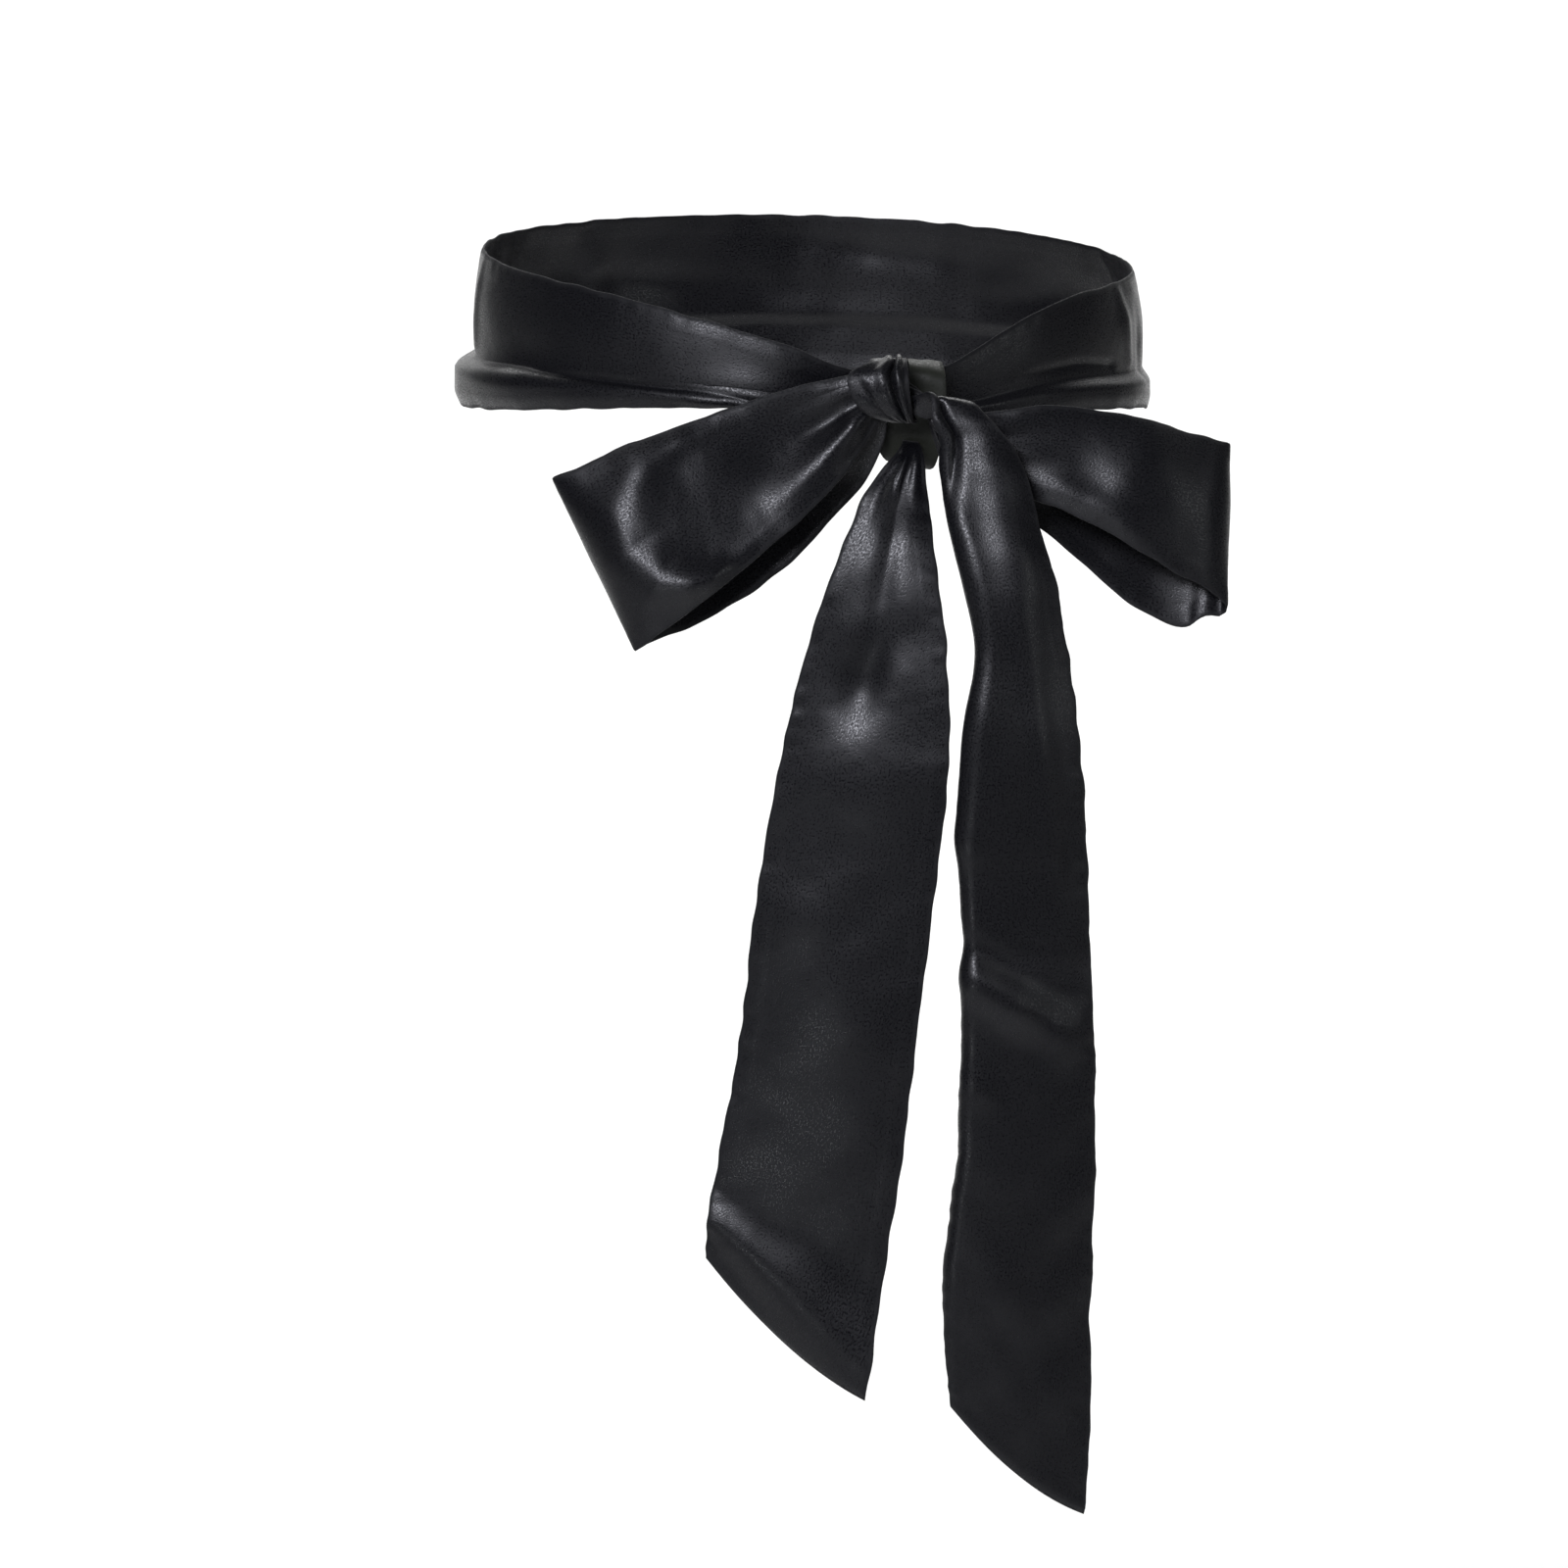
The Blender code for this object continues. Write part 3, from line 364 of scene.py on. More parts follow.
CREASES = {
    "waist_band": [
        [
            Point(0.168, 0.70, -0.0002, 0.0012), Point(0.132, 0.735, -0.0016, 0.0014),
            Point(0.114, 0.765, -0.0018, 0.0014), Point(0.080, 0.84, -0.0014, 0.0014),
            Point(0.056, 0.88, -0.0002, 0.0012),
        ],
        [
            Point(0.108, 0.86, 0.0002, 0.0022), Point(0.086, 0.91, 0.0010, 0.0024),
            Point(0.060, 0.95, 0.0008, 0.0020),
        ],
        [
            Point(0.213, 0.02, 0.0002, 0.003), Point(0.214, 0.20, 0.0010, 0.004),
            Point(0.216, 0.55, 0.0008, 0.004),
        ],
        [
            Point(0.236, 0.10, 0.0002, 0.004), Point(0.238, 0.35, -0.0012, 0.005),
            Point(0.236, 0.70, -0.0004, 0.004),
        ],
        [
            Point(0.262, 0.15, 0.0004, 0.005), Point(0.266, 0.60, 0.0012, 0.006),
            Point(0.268, 0.95, 0.0006, 0.005),
        ],
        [
            Point(0.636, 0.05, 0.0004, 0.003), Point(0.633, 0.30, 0.0012, 0.004),
            Point(0.630, 0.60, 0.0006, 0.003),
        ],
        [
            Point(0.646, 0.62, -0.0010, 0.002), Point(0.668, 0.58, -0.0012, 0.002),
            Point(0.700, 0.56, -0.0003, 0.002),
        ],
        [
            Point(0.620, 0.10, 0.0002, 0.004), Point(0.616, 0.50, -0.0010, 0.004),
            Point(0.618, 0.80, -0.0002, 0.004),
        ],
        [
            Point(0.300, 0.30, 0.0003, 0.006), Point(0.345, 0.40, 0.0018, 0.007),
            Point(0.395, 0.46, 0.0012, 0.007), Point(0.440, 0.50, 0.0002, 0.006),
        ],
        [
            Point(0.400, 0.14, 0.0003, 0.005), Point(0.440, 0.22, 0.0014, 0.006),
            Point(0.490, 0.26, 0.0003, 0.006),
        ],
        [
            Point(0.480, 0.52, 0.0004, 0.006), Point(0.520, 0.44, 0.0018, 0.007),
            Point(0.570, 0.36, 0.0003, 0.006),
        ],
        [
            Point(0.318, 0.05, 0.0008, 0.005), Point(0.322, 0.30, -0.0012, 0.006),
            Point(0.326, 0.58, -0.0002, 0.005),
        ],
        [
            Point(0.556, 0.05, 0.0006, 0.005), Point(0.560, 0.28, 0.0014, 0.005),
            Point(0.564, 0.60, 0.0002, 0.005),
        ],
    ],
    "knot_crossing": [],
    "knot_wrap": [],
    "loop_left": [
        [
            Point(0.090, 0.02, 0.0010, 0.008), Point(0.106, 0.13, 0.0024, 0.010),
            Point(0.117, 0.33, 0.0034, 0.011), Point(0.120, 0.55, 0.0032, 0.010),
            Point(0.113, 0.78, 0.0046, 0.010), Point(0.095, 0.92, 0.0034, 0.007),
        ],
        [
            Point(0.010, 0.60, 0.0024, 0.0036), Point(0.022, 0.65, 0.0062, 0.0056),
            Point(0.036, 0.70, 0.0044, 0.0070), Point(0.050, 0.74, 0.0024, 0.0076),
            Point(0.066, 0.80, 0.0004, 0.0080),
        ],
        [
            Point(0.111, 0.79, 0.0004, 0.0050), Point(0.102, 0.87, 0.0022, 0.0050),
            Point(0.088, 0.92, 0.0020, 0.0046), Point(0.072, 0.94, 0.0002, 0.0040),
        ],
        [
            Point(0.066, 0.10, 0.0002, 0.0040), Point(0.088, 0.11, 0.0016, 0.0044),
            Point(0.102, 0.17, 0.0006, 0.0050),
        ],
        [
            Point(0.014, 0.30, 0.0010, 0.0020), Point(0.026, 0.28, 0.0012, 0.0028),
            Point(0.044, 0.24, 0.0002, 0.0034),
        ],
        [
            Point(0.014, 0.50, -0.0012, 0.0016), Point(0.028, 0.47, -0.0014, 0.0026),
            Point(0.046, 0.44, -0.0002, 0.0036),
        ],
        [
            Point(0.262, 0.30, 0.0014, 0.0030), Point(0.236, 0.34, 0.0016, 0.0050),
            Point(0.200, 0.36, 0.0003, 0.0070),
        ],
        [
            Point(0.262, 0.62, -0.0014, 0.0030), Point(0.240, 0.60, -0.0018, 0.0050),
            Point(0.210, 0.56, -0.0003, 0.0070),
        ],
    ],
    "loop_right": [
        [
            Point(0.060, 0.78, 0.0004, 0.005), Point(0.082, 0.82, 0.0016, 0.006),
            Point(0.104, 0.86, 0.0014, 0.006), Point(0.118, 0.90, 0.0002, 0.006),
        ],
        [
            Point(0.018, 0.30, 0.0010, 0.0022), Point(0.032, 0.28, 0.0014, 0.0030),
            Point(0.054, 0.24, 0.0003, 0.0040),
        ],
        [
            Point(0.018, 0.56, -0.0010, 0.0020), Point(0.034, 0.52, -0.0014, 0.0030),
            Point(0.056, 0.48, -0.0003, 0.0040),
        ],
        [
            Point(0.020, 0.80, 0.0010, 0.0020), Point(0.034, 0.80, 0.0014, 0.0028),
            Point(0.056, 0.82, 0.0003, 0.0036),
        ],
        [
            Point(0.284, 0.34, 0.0014, 0.0028), Point(0.262, 0.36, 0.0018, 0.0050),
            Point(0.226, 0.40, 0.0003, 0.0070),
        ],
        [
            Point(0.284, 0.66, -0.0014, 0.0028), Point(0.260, 0.64, -0.0018, 0.0050),
            Point(0.220, 0.60, -0.0003, 0.0070),
        ],
    ],
    "tail_left": [
        [
            Point(0.316, -0.02, 0.0026, 0.010), Point(0.326, 0.22, 0.0042, 0.013),
            Point(0.338, 0.60, 0.0052, 0.015), Point(0.350, 1.02, 0.0048, 0.016),
        ],
        [
            Point(0.010, 0.40, 0.0006, 0.0010), Point(0.018, 0.44, 0.0010, 0.0012),
            Point(0.028, 0.50, 0.0002, 0.0014),
        ],
    ],
    "tail_right": [
        [
            Point(0.243, -0.06, 0.0004, 0.006), Point(0.249, 0.20, 0.0030, 0.008),
            Point(0.256, 0.42, 0.0040, 0.009), Point(0.264, 0.68, 0.0024, 0.010),
            Point(0.273, 0.98, 0.0002, 0.012),
        ],
        [
            Point(0.231, -0.06, -0.0001, 0.004), Point(0.235, 0.20, -0.0008, 0.005),
            Point(0.241, 0.40, -0.0012, 0.006), Point(0.250, 0.68, -0.0006, 0.007),
            Point(0.258, 0.90, -0.0001, 0.007),
        ],
        [
            Point(0.016, 0.03, 0.0004, 0.0016), Point(0.030, 0.06, 0.0014, 0.0020),
            Point(0.052, 0.08, 0.0010, 0.0022), Point(0.078, 0.06, 0.0001, 0.0026),
        ],
        [
            Point(0.100, 0.58, 0.0002, 0.004), Point(0.150, 0.68, 0.0010, 0.005),
            Point(0.205, 0.76, 0.0008, 0.005), Point(0.245, 0.80, 0.0001, 0.005),
        ],
    ],
}

# Satin. A noise has its pitches along and across the threads in metres.

Noise = namedtuple("Noise", "along across detail")

ANISOTROPY = 0.52
QUARTER_TURN = 0.25
SPECULAR_LEVEL = 0.28
SHEEN = 0.02
SHEEN_ROUGHNESS = 0.35
MOTTLE = Noise(0.0009, 0.0007, 2.0)
CLOUD = Noise(0.030, 0.022, 2.0)
THREADS = Noise(0.0040, 0.0005, 1.0)
NOISE_ROUGHNESS = 0.55
MOTTLE_ROUGHNESS = 0.15
MOTTLE_RANGE = (0.36, 0.64)
CLOUD_ROUGHNESS = 0.025
CLOUD_RANGE = (0.3, 0.7)
EDGE_ROUGHNESS = 0.30
DARKER = 0.75
LIGHTER = 1.30
GRAIN_STRENGTH = 0.9
GRAIN_DEPTH = 0.00008
THREAD_STRENGTH = 0.60
THREAD_DEPTH = 0.00005

SATIN_COLOUR = (0.0030, 0.0031, 0.0042)
SATIN_ROUGHNESS = 0.38
# Painted light: the crossing's satin colour is painted lighter and greener than the black satin,
# standing in for the light that falls on the knot's crossing; its duller roughness and grain are bumps
# and roughness, not painted.
SLACK_PAINTED_LIGHT_COLOUR = (0.0125, 0.0138, 0.0100)
SLACK_ROUGHNESS = 0.55
SLACK_GRAIN = 0.6

# Studio

FLOOR_COLOUR = (0.86, 0.86, 0.85)
FLOOR_ROUGHNESS = 0.75
FLOOR_HEIGHT = -1.0
FLOOR_FRONT = -5.0
FLOOR_HALF_WIDTH = 6.0
CURVE_FRONT = 3.4
CURVE_RADIUS = 1.6
CURVE_STEPS = 12
BACKDROP_TOP = 5.0

WORLD_COLOUR = (0.95, 0.97, 1.0, 1.0)
WORLD_STRENGTH = 0.10

Lamp = namedtuple("Lamp", "name place target size power colour")

LAMPS = [
    Lamp("overhead", (0.0, 2.7, 2.6), (0.0, 2.7, 0.0), (5.5, 2.8), 200.0, (1.0, 1.0, 1.0)),
    Lamp("key", (-0.70, -2.0, 1.15), (0.0, -0.1, -0.10), (0.85, 0.6), 54.0, (0.90, 0.905, 1.0)),
    Lamp("fill", (1.9, -1.5, 0.5), (0.0, -0.1, -0.15), (0.8, 1.2), 6.0, (0.96, 0.98, 1.0)),
    Lamp("low_fill", (-0.55, -1.6, -0.36), (0.0, -0.16, -0.30), (0.7, 0.10), 2.2, (0.93, 0.95, 1.0)),
]

CAMERA_LENS = 147.43
CAMERA_SENSOR = 36.0
CAMERA_TARGET = (-0.0066, 0.0, -0.184)
CAMERA_DISTANCE = 2.6
CAMERA_DOWN = 14.0


def smooth(knots, values, spots):
    """Read the smooth curve through a table's values at the wanted spots."""
    knots = np.asarray(knots, float)
    values = np.asarray(values, float)
    slopes = np.gradient(values, knots, axis=0)
    place = np.clip(np.searchsorted(knots, spots, side="right") - 1, 0, len(knots) - 2)
    step = knots[place + 1] - knots[place]
    t = (spots - knots[place]) / step
    if values.ndim == 2:
        t = t[:, None]
        step = step[:, None]
    start = (2 * t**3 - 3 * t**2 + 1) * values[place] + (t**3 - 2 * t**2 + t) * step * slopes[place]
    finish = (3 * t**2 - 2 * t**3) * values[place + 1] + (t**3 - t**2) * step * slopes[place + 1]
    return start + finish


def ramp(value, low, high):
    """Rise smoothly from 0 at low to 1 at high."""
    t = np.clip((value - low) / (high - low), 0.0, 1.0)
    return t * t * (3.0 - 2.0 * t)


def unit(vectors):
    """Give each vector a length of 1."""
    return vectors / np.maximum(np.linalg.norm(vectors, axis=-1, keepdims=True), 1e-12)


def fold_heights(folds, along, across):
    """Heights of all ridges and troughs over a grid of places along and across a stretch."""
    along = along[:, None]
    total = np.zeros((len(along), len(across)))
    for fold in folds:
        share = (along - fold.begin) / (fold.end - fold.begin)
        middle = fold.across_begin + (fold.across_end - fold.across_begin) * share
        strength = ramp(along, fold.begin, fold.full) * (1.0 - ramp(along, fold.fade, fold.end))
        total += fold.height * strength * np.exp(-(((across - middle) / fold.width) ** 2))
    return total


def strip_spots(knots):
    """Places along a stretch, at most one step apart, with one on every row."""
    spots = [0.0]
    for low, high in zip(knots[:-1], knots[1:]):
        count = max(1, math.ceil((high - low) / FINE_STEP))
        spots.extend(low + (high - low) * (i + 1) / count for i in range(count))
    return np.array(spots)


def strip_points(rows, folds, side=1.0, end_bow=0.0):
    """Lay one stretch between the two edges that its rows give, with places along it."""
    first = np.array([row.first for row in rows])
    last = np.array([row.last for row in rows])
    middle = (first + last) / 2
    lengths = np.linalg.norm(np.diff(middle, axis=0), axis=1)
    knots = np.concatenate([[0.0], np.cumsum(lengths)])
    spots = strip_spots(knots)
    first = smooth(knots, first, spots)
    last = smooth(knots, last, spots)
    bulge = smooth(knots, [row.bulge for row in rows], spots)[:, None]
    curl = np.maximum(smooth(knots, [row.curl for row in rows], spots), 0.0)[:, None]

    run = np.gradient((first + last) / 2, spots, axis=0)
    reach = last - first
    chord = np.linalg.norm(reach, axis=1)[:, None]
    sideways = unit(reach)
    outward = unit(np.cross(run, sideways)) * side

    shift = CURL_RADIUS * np.sin(np.minimum(curl / CURL_RADIUS, math.pi / 2))
    length = ACROSS * (chord - shift + curl) - curl
    angle = np.clip(-length / CURL_RADIUS, 0.0, None)
    sideways_place = shift + np.where(length < 0, -CURL_RADIUS * np.sin(angle), length)
    outward_place = -CURL_RADIUS * (1.0 - np.cos(angle))
    outward_place = outward_place + bulge * 4.0 * ACROSS * (1.0 - ACROSS)
    outward_place = outward_place + fold_heights(folds, spots, ACROSS)
    end_share = ramp(spots, spots[-1] - TAIL_END_LENGTH, spots[-1])[:, None]
    bow = end_bow * end_share * 4.0 * ACROSS * (1.0 - ACROSS)
    points = (
        first[:, None, :]
        + sideways[:, None, :] * sideways_place[:, :, None]
        + outward[:, None, :] * outward_place[:, :, None]
        + unit(run)[:, None, :] * bow[:, :, None]
    )
    return points, spots


def turned_rows(front, back):
    """Join a loop's front and back rows with the half turn at its end."""
    rows = list(front)
    pairs = []
    for edge in ("first", "last"):
        start = np.array(getattr(front[-1], edge))
        finish = np.array(getattr(back[0], edge))
        ahead = unit(start - np.array(getattr(front[-2], edge)))
        pairs.append((start, finish, ahead))
    for i in range(1, TURN_STEPS):
        angle = math.pi * i / TURN_STEPS
        edges = []
        for start, finish, ahead in pairs:
            centre = (start + finish) / 2
            radius = np.linalg.norm(start - finish) / 2
            place = centre + math.cos(angle) * (start - centre) + math.sin(angle) * radius * ahead
            edges.append(tuple(place))
        rows.append(Row(edges[0], edges[1], 0.0, 0.0))
    return rows + list(back)


def band_points():
    """The band, from behind the knot to the left, round the back and on to the knot again."""
    knots = np.array([-row.angle for row in BAND_ROWS], float)
    turned = np.linspace(knots[0], knots[-1], BAND_STEPS + 1)
    column = {name: smooth(knots, [getattr(row, name) for row in BAND_ROWS], turned)[:, None]
              for name in ("top", "bottom", "out", "lean", "step", "crease")}
    angle = -np.radians(turned)[:, None]
    lean = -column["lean"] * np.clip(1.0 - ACROSS / LEAN_SHARE, 0.0, None) ** 2
    crease = column["crease"]
    step = column["step"] * ramp(ACROSS, crease - STEP_BEFORE_CREASE, crease + STEP_AFTER_CREASE)
    tuck = -TUCK_DEPTH * column["step"] * ramp(ACROSS, TUCK_BEGIN, TUCK_END)
    along = (turned - turned[0]) / (turned[-1] - turned[0])
    offset = column["out"] + lean + step + tuck + fold_heights(BAND_FOLDS, along, ACROSS)
    x = WAIST_SHIFT + (WAIST_HALF_WIDTH + offset) * np.sin(angle)
    y = -(WAIST_HALF_DEPTH + offset) * np.cos(angle)
    z = column["top"] + (column["bottom"] - column["top"]) * ACROSS
    return np.stack([x, y, z], axis=-1)


def wrap_points():
    """The wrap of the knot: a strap that goes over the top, down the front and up behind."""
    around = np.arange(WRAP_STEPS) / WRAP_STEPS
    knots = [row.angle for row in WRAP_ROWS]
    left = smooth(knots, [row.left for row in WRAP_ROWS], around * 360.0)[:, None]
    right = smooth(knots, [row.right for row in WRAP_ROWS], around * 360.0)[:, None]
    height = fold_heights(WRAP_FOLDS, around, ACROSS)
    angle = (2.0 * math.pi * around)[:, None]
    x = left + (right - left) * ACROSS
    y = KNOT_Y - (KNOT_HALF_DEPTH + height) * np.sin(angle)
    z = KNOT_Z + (KNOT_HALF_HEIGHT + height) * np.cos(angle)
    return np.stack([x, y, z], axis=-1)


def lengths_along(points):
    """Distance along a stretch's middle, row by row."""
    middle = points[:, points.shape[1] // 2]
    return np.concatenate([[0.0], np.cumsum(np.linalg.norm(np.diff(middle, axis=0), axis=1))])


def lengths_across(points):
    """Distance across each row from its first edge."""
    steps = np.linalg.norm(np.diff(points, axis=1), axis=2)
    return np.concatenate([np.zeros((len(points), 1)), np.cumsum(steps, axis=1)], axis=1)


def waves(seed, along, across, pitch_along, pitch_across):
    """Smooth unevenness of about -1 to 1, the same at every run: waves with set phases."""
    source = np.random.default_rng(seed)
    total = np.zeros(np.broadcast(along, across).shape)
    for _ in range(WAVE_COUNT):
        often_along = source.uniform(*PITCH_RANGE_ALONG) / pitch_along * source.choice([-1.0, 1.0])
        often_across = source.uniform(*PITCH_RANGE_ACROSS) / pitch_across
        phase = source.uniform(0.0, 2.0 * math.pi)
        total = total + np.sin(2.0 * math.pi * (along * often_along + across * often_across) + phase)
    return total / math.sqrt(WAVE_COUNT)


def dent_heights(dents, along, across, width):
    """Heights of the soft dents and swells over a stretch."""
    total = np.zeros(across.shape)
    for dent in dents:
        turn = math.radians(dent.turn)
        ahead = along - dent.along
        aside = across - dent.across * width
        lengthwise = ahead * math.cos(turn) + aside * math.sin(turn)
        sidewise = -ahead * math.sin(turn) + aside * math.cos(turn)
        total += dent.height * np.exp(-((lengthwise / dent.reach) ** 2) - (sidewise / dent.spread) ** 2)
    return total


def crease_heights(creases, along, across, width):
    """Heights of the creases over a stretch: each rises and fades along its own line."""
    total = np.zeros(across.shape)
    for crease in creases:
        best = np.zeros(across.shape)
        for a, b in zip(crease[:-1], crease[1:]):
            step_along = b.along - a.along
            step_across = (b.across - a.across) * width
            ahead = along - a.along
            aside = across - a.across * width
            square = step_along**2 + step_across**2
            share = np.clip((ahead * step_along + aside * step_across) / square, 0.0, 1.0)
            apart = (ahead - share * step_along) ** 2 + (aside - share * step_across) ** 2
            spread = a.spread + (b.spread - a.spread) * share
            value = (a.height + (b.height - a.height) * share) * np.exp(-apart / spread**2)
            best = np.where(np.abs(value) > np.abs(best), value, best)
        total += best
    return total


def grid_normals(points, side, closed):
    """The outer side's direction at each point of a grid."""
    if closed:
        along = np.roll(points, -1, axis=0) - np.roll(points, 1, axis=0)
    else:
        along = np.gradient(points, axis=0)
    return unit(np.cross(along, np.gradient(points, axis=1))) * side


def weathered(name, points, side=1.0, closed=False):
    """Add the dents, creases, seam puckers and unevenness of real cloth to a smooth grid."""
    weather = WEATHER[name]
    seed = weather.seed
    along = lengths_along(points)[:, None]
    across = lengths_across(points)
    width = across[:, -1:]
    normals = grid_normals(points, side, closed)
    sideways = unit(np.gradient(points, axis=1))
    lift = dent_heights(DENTS[name], along, across, width)
    lift = lift + crease_heights(CREASES[name], along, across, width)
    scale = np.clip(width / FULL_WIDTH, NARROWEST_SCALE, 1.0)
    lift = lift + scale * weather.broad * waves(seed, along, across, *BROAD_PITCH)
    lift = lift + scale * weather.small * waves(seed + SMALL_SEED, along, across, *SMALL_PITCH)
    drift = np.zeros(across.shape)
    for edge, near in enumerate((across, width - across)):
        hold = np.exp(-((near / EDGE_REACH) ** 2))
        pucker = waves(seed + PUCKER_SEED + edge, along, 0.0, PUCKER_PITCH, 1.0)
        waver = waves(seed + DRIFT_SEED + edge, along, 0.0, DRIFT_PITCH, 1.0)
        lift = lift + weather.pucker * hold * pucker
        drift = drift + weather.drift * hold * waver
    if closed:
        lift = lift * np.sin(math.pi * np.arange(len(points)) / len(points))[:, None]
        drift = drift * 0.0
    return points + normals * lift[:, :, None] + sideways * drift[:, :, None]


def sheet_thickness(near, width):
    """Thickness of the double cloth by the distance to its nearest edge."""
    rounding = np.clip(near / EDGE_ROUND, 0.0, 1.0)
    thickness = CLOTH * np.sqrt(1.0 - (1.0 - rounding) ** 2)
    seam = ramp(near, *SEAM_RISE) * (1.0 - ramp(near, *SEAM_FALL))
    thickness = thickness + SEAM_EXTRA * seam * np.clip(width / FULL_WIDTH, 0.0, 1.0)
    return np.maximum(thickness, THINNEST)


def ring_faces(along, places, closed):
    """Faces between the rings of a sheet, with caps on open ends, and their places in metres."""
    rows, count = places.shape
    faces = []
    uvs = []
    for i in range(rows if closed else rows - 1):
        next_row = (i + 1) % rows
        low = i * count
        high = next_row * count
        far = along[i + 1] if i + 1 < rows else along[i] + (along[i] - along[i - 1])
        for j in range(count):
            k = (j + 1) % count
            faces.append((low + j, low + k, high + k, high + j))
            uvs.extend(((along[i], places[i, j]), (along[i], places[i, k]),
                        (far, places[next_row, k]), (far, places[next_row, j])))
    if not closed:
        for i in (0, rows - 1):
            low = i * count
            for j in range(count // 2 - 1):
                faces.append((low + j, low + count - 1 - j, low + count - 2 - j, low + j + 1))
                uvs.extend(((along[i], places[i, j]), (along[i], places[i, j]),
                            (along[i], places[i, j + 1]), (along[i], places[i, j + 1])))
    return faces, uvs


def make_cloth(name, points, material, side=1.0, closed=False):
    """A closed thin sheet through a grid of points, with places in metres as its UVs."""
    along = lengths_along(points)
    across = lengths_across(points)
    width = across[:, -1:]
    near = np.minimum(across, width - across)
    if not closed:
        ends = np.minimum(along, along[-1] - along)[:, None]
        near = np.minimum(near, ends)
    offset = grid_normals(points, side, closed) * (sheet_thickness(near, width)[:, :, None] / 2)
    outer = points + offset
    inner = points - offset
    rings = np.concatenate([outer, inner[:, ::-1]], axis=1)
    pressed = 1.0 - ramp(near, *PRESSED_FALL)
    pressed = np.concatenate([pressed, pressed[:, ::-1]], axis=1)
    places = np.concatenate([across, across[:, ::-1]], axis=1)
    faces, uvs = ring_faces(along, places, closed)

    mesh = bpy.data.meshes.new(name + "_cloth")
    mesh.from_pydata([tuple(p) for p in rings.reshape(-1, 3)], [], faces)
    layer = mesh.uv_layers.new(name="cloth_metres")
    layer.data.foreach_set("uv", np.array(uvs, np.float32).reshape(-1))
    edge = mesh.attributes.new("pressed_edge", "FLOAT", "POINT")
    edge.data.foreach_set("value", pressed.reshape(-1).astype(np.float32))
    work = bmesh.new()
    work.from_mesh(mesh)
    bmesh.ops.recalc_face_normals(work, faces=work.faces)
    work.to_mesh(mesh)
    work.free()
    mesh.shade_smooth()
    mesh.materials.append(material)
    cloth = bpy.data.objects.new(name + "_cloth", mesh)
    bpy.context.scene.collection.objects.link(cloth)
    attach(cloth, "root")
    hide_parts(name)
    return cloth


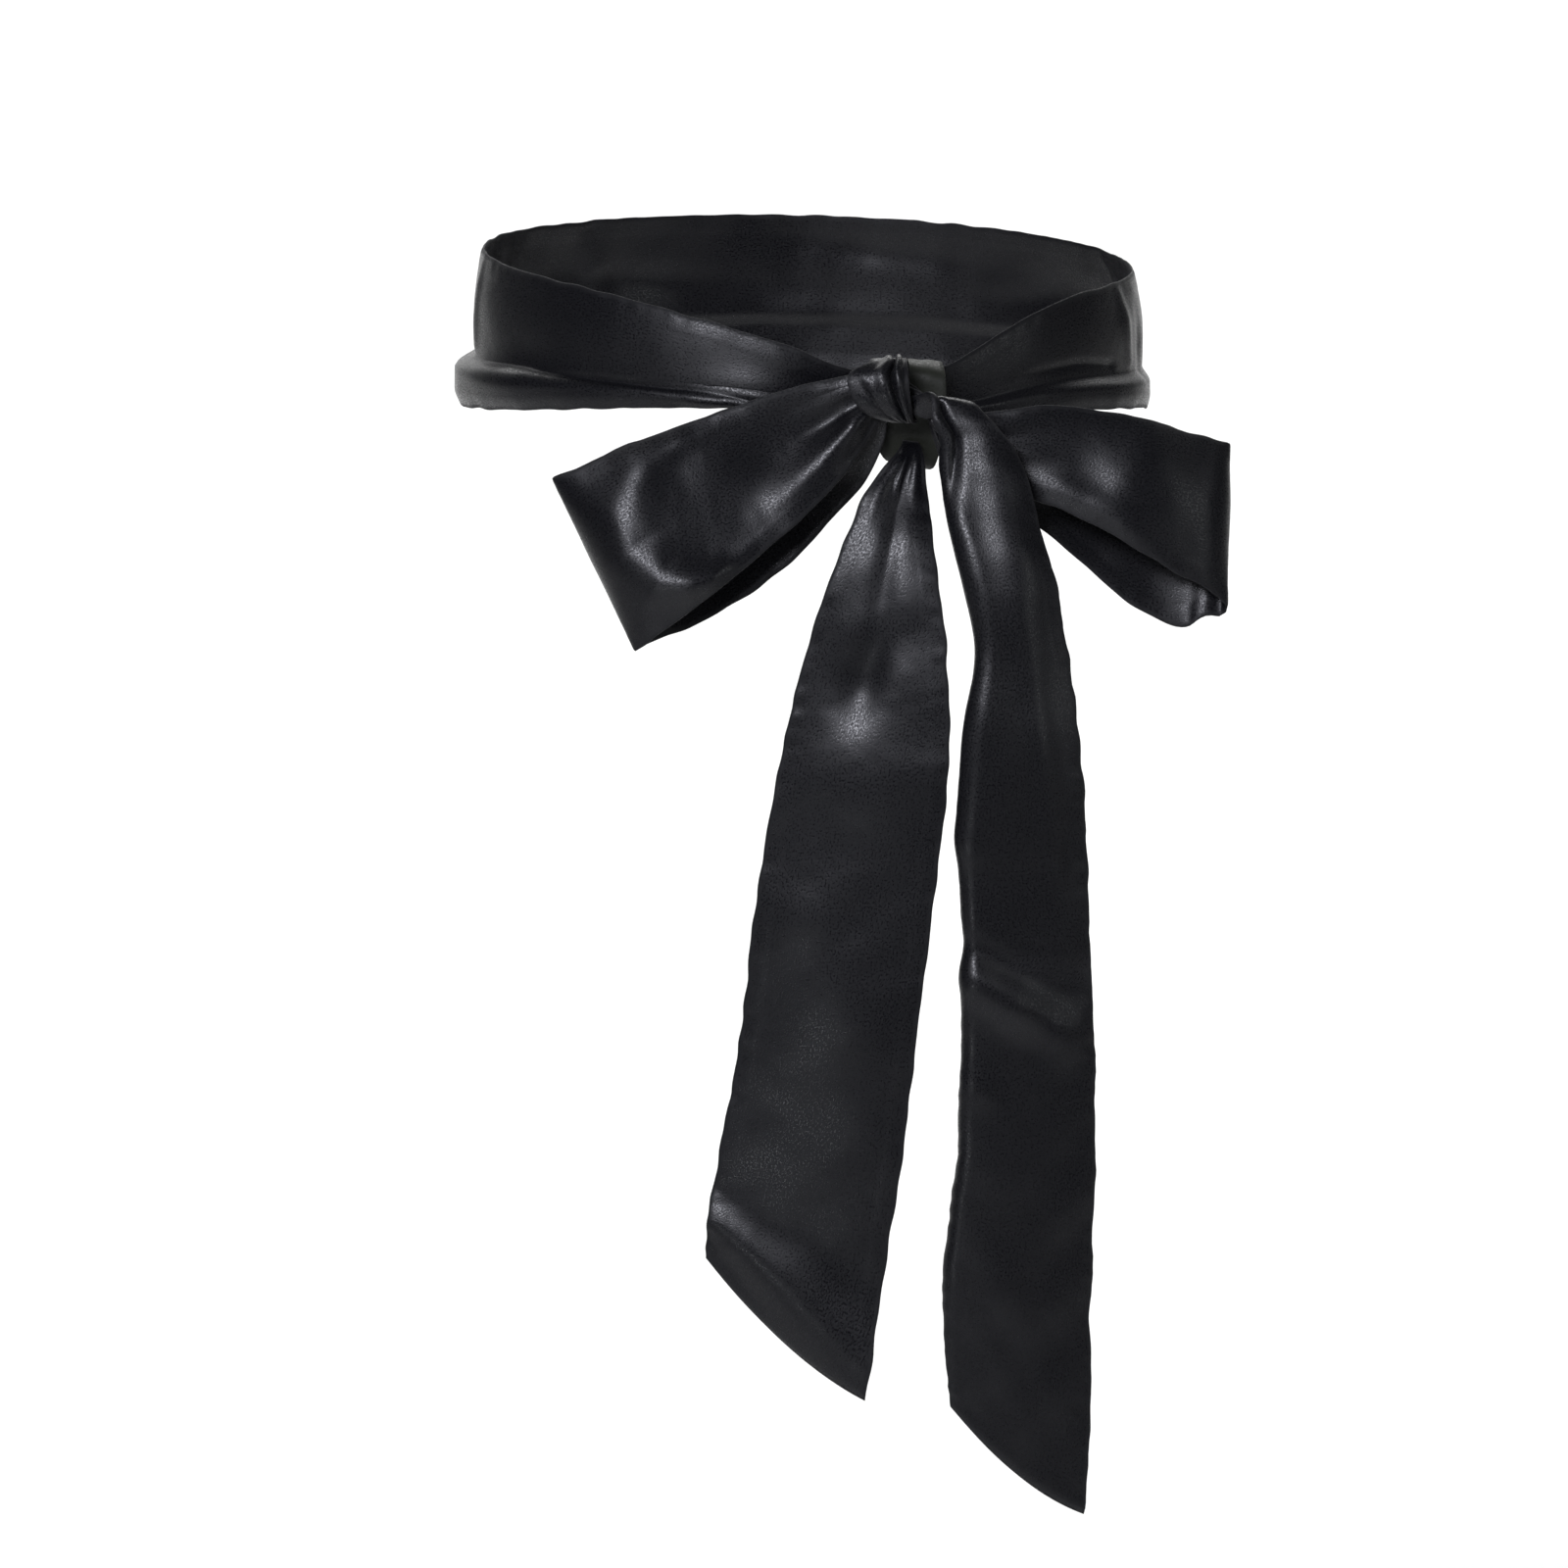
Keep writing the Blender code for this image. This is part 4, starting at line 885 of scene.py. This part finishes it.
def satin_material(name, colour, roughness, grain=1.0):
    """Black satin: long threads, a fine grain in its shine, and a soft sheen at its turned edges."""
    material = bpy.data.materials.new(name)
    material.use_nodes = True
    nodes = material.node_tree.nodes
    links = material.node_tree.links
    shader = nodes["Principled BSDF"]
    shader.inputs["Anisotropic"].default_value = ANISOTROPY
    shader.inputs["Anisotropic Rotation"].default_value = QUARTER_TURN
    shader.inputs["Specular IOR Level"].default_value = SPECULAR_LEVEL
    shader.inputs["Sheen Weight"].default_value = SHEEN
    shader.inputs["Sheen Roughness"].default_value = SHEEN_ROUGHNESS
    tangent = nodes.new("ShaderNodeTangent")
    tangent.direction_type = "UV_MAP"
    tangent.uv_map = "cloth_metres"
    links.new(tangent.outputs[0], shader.inputs["Tangent"])

    place = nodes.new("ShaderNodeUVMap")
    place.uv_map = "cloth_metres"

    def noise(kind):
        """Noise over the cloth, with its two pitches in metres."""
        mapping = nodes.new("ShaderNodeMapping")
        mapping.inputs["Scale"].default_value = (1.0 / kind.along, 1.0 / kind.across, 1.0)
        links.new(place.outputs[0], mapping.inputs["Vector"])
        texture = nodes.new("ShaderNodeTexNoise")
        texture.inputs["Scale"].default_value = 1.0
        texture.inputs["Detail"].default_value = kind.detail
        texture.inputs["Roughness"].default_value = NOISE_ROUGHNESS
        links.new(mapping.outputs[0], texture.inputs["Vector"])
        return texture.outputs["Fac"]

    def spread(value, start, low, high):
        """Bring a value from its own range to the one from low to high."""
        change = nodes.new("ShaderNodeMapRange")
        change.inputs["From Min"].default_value = start[0]
        change.inputs["From Max"].default_value = start[1]
        change.inputs["To Min"].default_value = low
        change.inputs["To Max"].default_value = high
        links.new(value, change.inputs["Value"])
        return change.outputs["Result"]

    mottle = noise(MOTTLE)
    cloud = noise(CLOUD)
    threads = noise(THREADS)

    edge = nodes.new("ShaderNodeAttribute")
    edge.attribute_name = "pressed_edge"

    def added(first, second):
        """The sum of two values."""
        node = nodes.new("ShaderNodeMath")
        node.operation = "ADD"
        links.new(first, node.inputs[0])
        links.new(second, node.inputs[1])
        return node.outputs[0]

    fine = spread(mottle, MOTTLE_RANGE, roughness - MOTTLE_ROUGHNESS, roughness + MOTTLE_ROUGHNESS)
    rough = added(fine, spread(cloud, CLOUD_RANGE, -CLOUD_ROUGHNESS, CLOUD_ROUGHNESS))
    rough = added(rough, spread(edge.outputs["Fac"], (0.0, 1.0), 0.0, EDGE_ROUGHNESS))
    links.new(rough, shader.inputs["Roughness"])

    shade = nodes.new("ShaderNodeMix")
    shade.data_type = "RGBA"
    shade.inputs["A"].default_value = (*[DARKER * c for c in colour], 1.0)
    shade.inputs["B"].default_value = (*[LIGHTER * c for c in colour], 1.0)
    links.new(mottle, shade.inputs["Factor"])
    links.new(shade.outputs["Result"], shader.inputs["Base Color"])

    grain_bump = nodes.new("ShaderNodeBump")
    grain_bump.inputs["Strength"].default_value = GRAIN_STRENGTH * grain
    grain_bump.inputs["Distance"].default_value = GRAIN_DEPTH
    links.new(mottle, grain_bump.inputs["Height"])
    thread_bump = nodes.new("ShaderNodeBump")
    thread_bump.inputs["Strength"].default_value = THREAD_STRENGTH * grain
    thread_bump.inputs["Distance"].default_value = THREAD_DEPTH
    links.new(threads, thread_bump.inputs["Height"])
    links.new(grain_bump.outputs["Normal"], thread_bump.inputs["Normal"])
    links.new(thread_bump.outputs["Normal"], shader.inputs["Normal"])
    return material


def plain_material(name, colour, roughness):
    """An even pale finish for the floor."""
    material = bpy.data.materials.new(name)
    material.use_nodes = True
    shader = material.node_tree.nodes["Principled BSDF"]
    shader.inputs["Base Color"].default_value = (*colour, 1.0)
    shader.inputs["Roughness"].default_value = roughness
    return material


def make_floor():
    """A pale floor that rises in a soft curve far behind."""
    profile = [(FLOOR_FRONT, FLOOR_HEIGHT), (CURVE_FRONT, FLOOR_HEIGHT)]
    centre_height = FLOOR_HEIGHT + CURVE_RADIUS
    for i in range(1, CURVE_STEPS + 1):
        angle = math.pi / 2 * i / CURVE_STEPS
        y = CURVE_FRONT + CURVE_RADIUS * math.sin(angle)
        z = centre_height - CURVE_RADIUS * math.cos(angle)
        profile.append((y, z))
    profile.append((CURVE_FRONT + CURVE_RADIUS, BACKDROP_TOP))
    vertices = [(x, y, z) for x in (-FLOOR_HALF_WIDTH, FLOOR_HALF_WIDTH) for y, z in profile]
    count = len(profile)
    faces = [(i, i + 1, count + i + 1, count + i) for i in range(count - 1)]
    mesh = bpy.data.meshes.new("pale_floor")
    mesh.from_pydata(vertices, [], faces)
    mesh.shade_smooth()
    mesh.materials.append(plain_material("pale_floor", FLOOR_COLOUR, FLOOR_ROUGHNESS))
    floor = bpy.data.objects.new("pale_floor", mesh)
    bpy.context.scene.collection.objects.link(floor)


def make_light(lamp):
    """A soft rectangular lamp that faces a point."""
    data = bpy.data.lights.new(lamp.name, "AREA")
    data.shape = "RECTANGLE"
    data.size, data.size_y = lamp.size
    data.energy = lamp.power
    data.color = lamp.colour
    holder = bpy.data.objects.new(lamp.name, data)
    bpy.context.scene.collection.objects.link(holder)
    holder.location = lamp.place
    holder.rotation_mode = "QUATERNION"
    holder.rotation_quaternion = (Vector(lamp.target) - Vector(lamp.place)).to_track_quat("-Z", "Y")


def make_studio():
    """Soft studio light: a wide lamp overhead, a key from the front and two fills."""
    world = bpy.data.worlds.new("studio")
    bpy.context.scene.world = world
    world.use_nodes = True
    background = world.node_tree.nodes["Background"]
    background.inputs["Color"].default_value = WORLD_COLOUR
    background.inputs["Strength"].default_value = WORLD_STRENGTH
    for lamp in LAMPS:
        make_light(lamp)
    bpy.context.scene.view_settings.view_transform = "Standard"


def make_camera():
    """The camera at the photograph's viewing angle."""
    data = bpy.data.cameras.new("camera")
    data.lens = CAMERA_LENS
    data.sensor_width = CAMERA_SENSOR
    camera = bpy.data.objects.new("camera", data)
    bpy.context.scene.collection.objects.link(camera)
    down = math.radians(CAMERA_DOWN)
    look = Vector((0.0, math.cos(down), -math.sin(down)))
    camera.location = Vector(CAMERA_TARGET) - look * CAMERA_DISTANCE
    camera.rotation_mode = "QUATERNION"
    camera.rotation_quaternion = look.to_track_quat("-Z", "Y")
    bpy.context.scene.camera = camera


make_camera()
make_studio()
make_floor()

satin = satin_material("black_satin", SATIN_COLOUR, SATIN_ROUGHNESS)
# The crossing's satin has a painted light: its colour is painted lighter than the black satin's.
dull_satin_painted_lighter = satin_material("black_satin_slack_painted_lighter", SLACK_PAINTED_LIGHT_COLOUR, SLACK_ROUGHNESS, SLACK_GRAIN)

band = make_cloth("waist_band", weathered("waist_band", band_points()), satin)
wrap = make_cloth("knot_wrap", weathered("knot_wrap", wrap_points(), closed=True), satin, closed=True)

points, _ = strip_points(CROSSING_ROWS, CROSSING_FOLDS)
crossing = make_cloth("knot_crossing", weathered("knot_crossing", points), dull_satin_painted_lighter)

points, _ = strip_points(turned_rows(LOOP_LEFT_FRONT, LOOP_LEFT_BACK), LOOP_LEFT_FOLDS)
left_loop = make_cloth("loop_left", weathered("loop_left", points), satin)

points, _ = strip_points(turned_rows(LOOP_RIGHT_FRONT, LOOP_RIGHT_BACK), LOOP_RIGHT_FOLDS, side=-1.0)
points = weathered("loop_right", points, side=-1.0)
right_loop = make_cloth("loop_right", points, satin, side=-1.0)

points, _ = strip_points(TAIL_LEFT_ROWS, TAIL_LEFT_FOLDS, end_bow=TAIL_END_BOW)
left_tail = make_cloth("tail_left", weathered("tail_left", points), satin)

points, _ = strip_points(TAIL_RIGHT_ROWS, TAIL_RIGHT_FOLDS, end_bow=TAIL_END_BOW)
right_tail = make_cloth("tail_right", weathered("tail_right", points), satin)
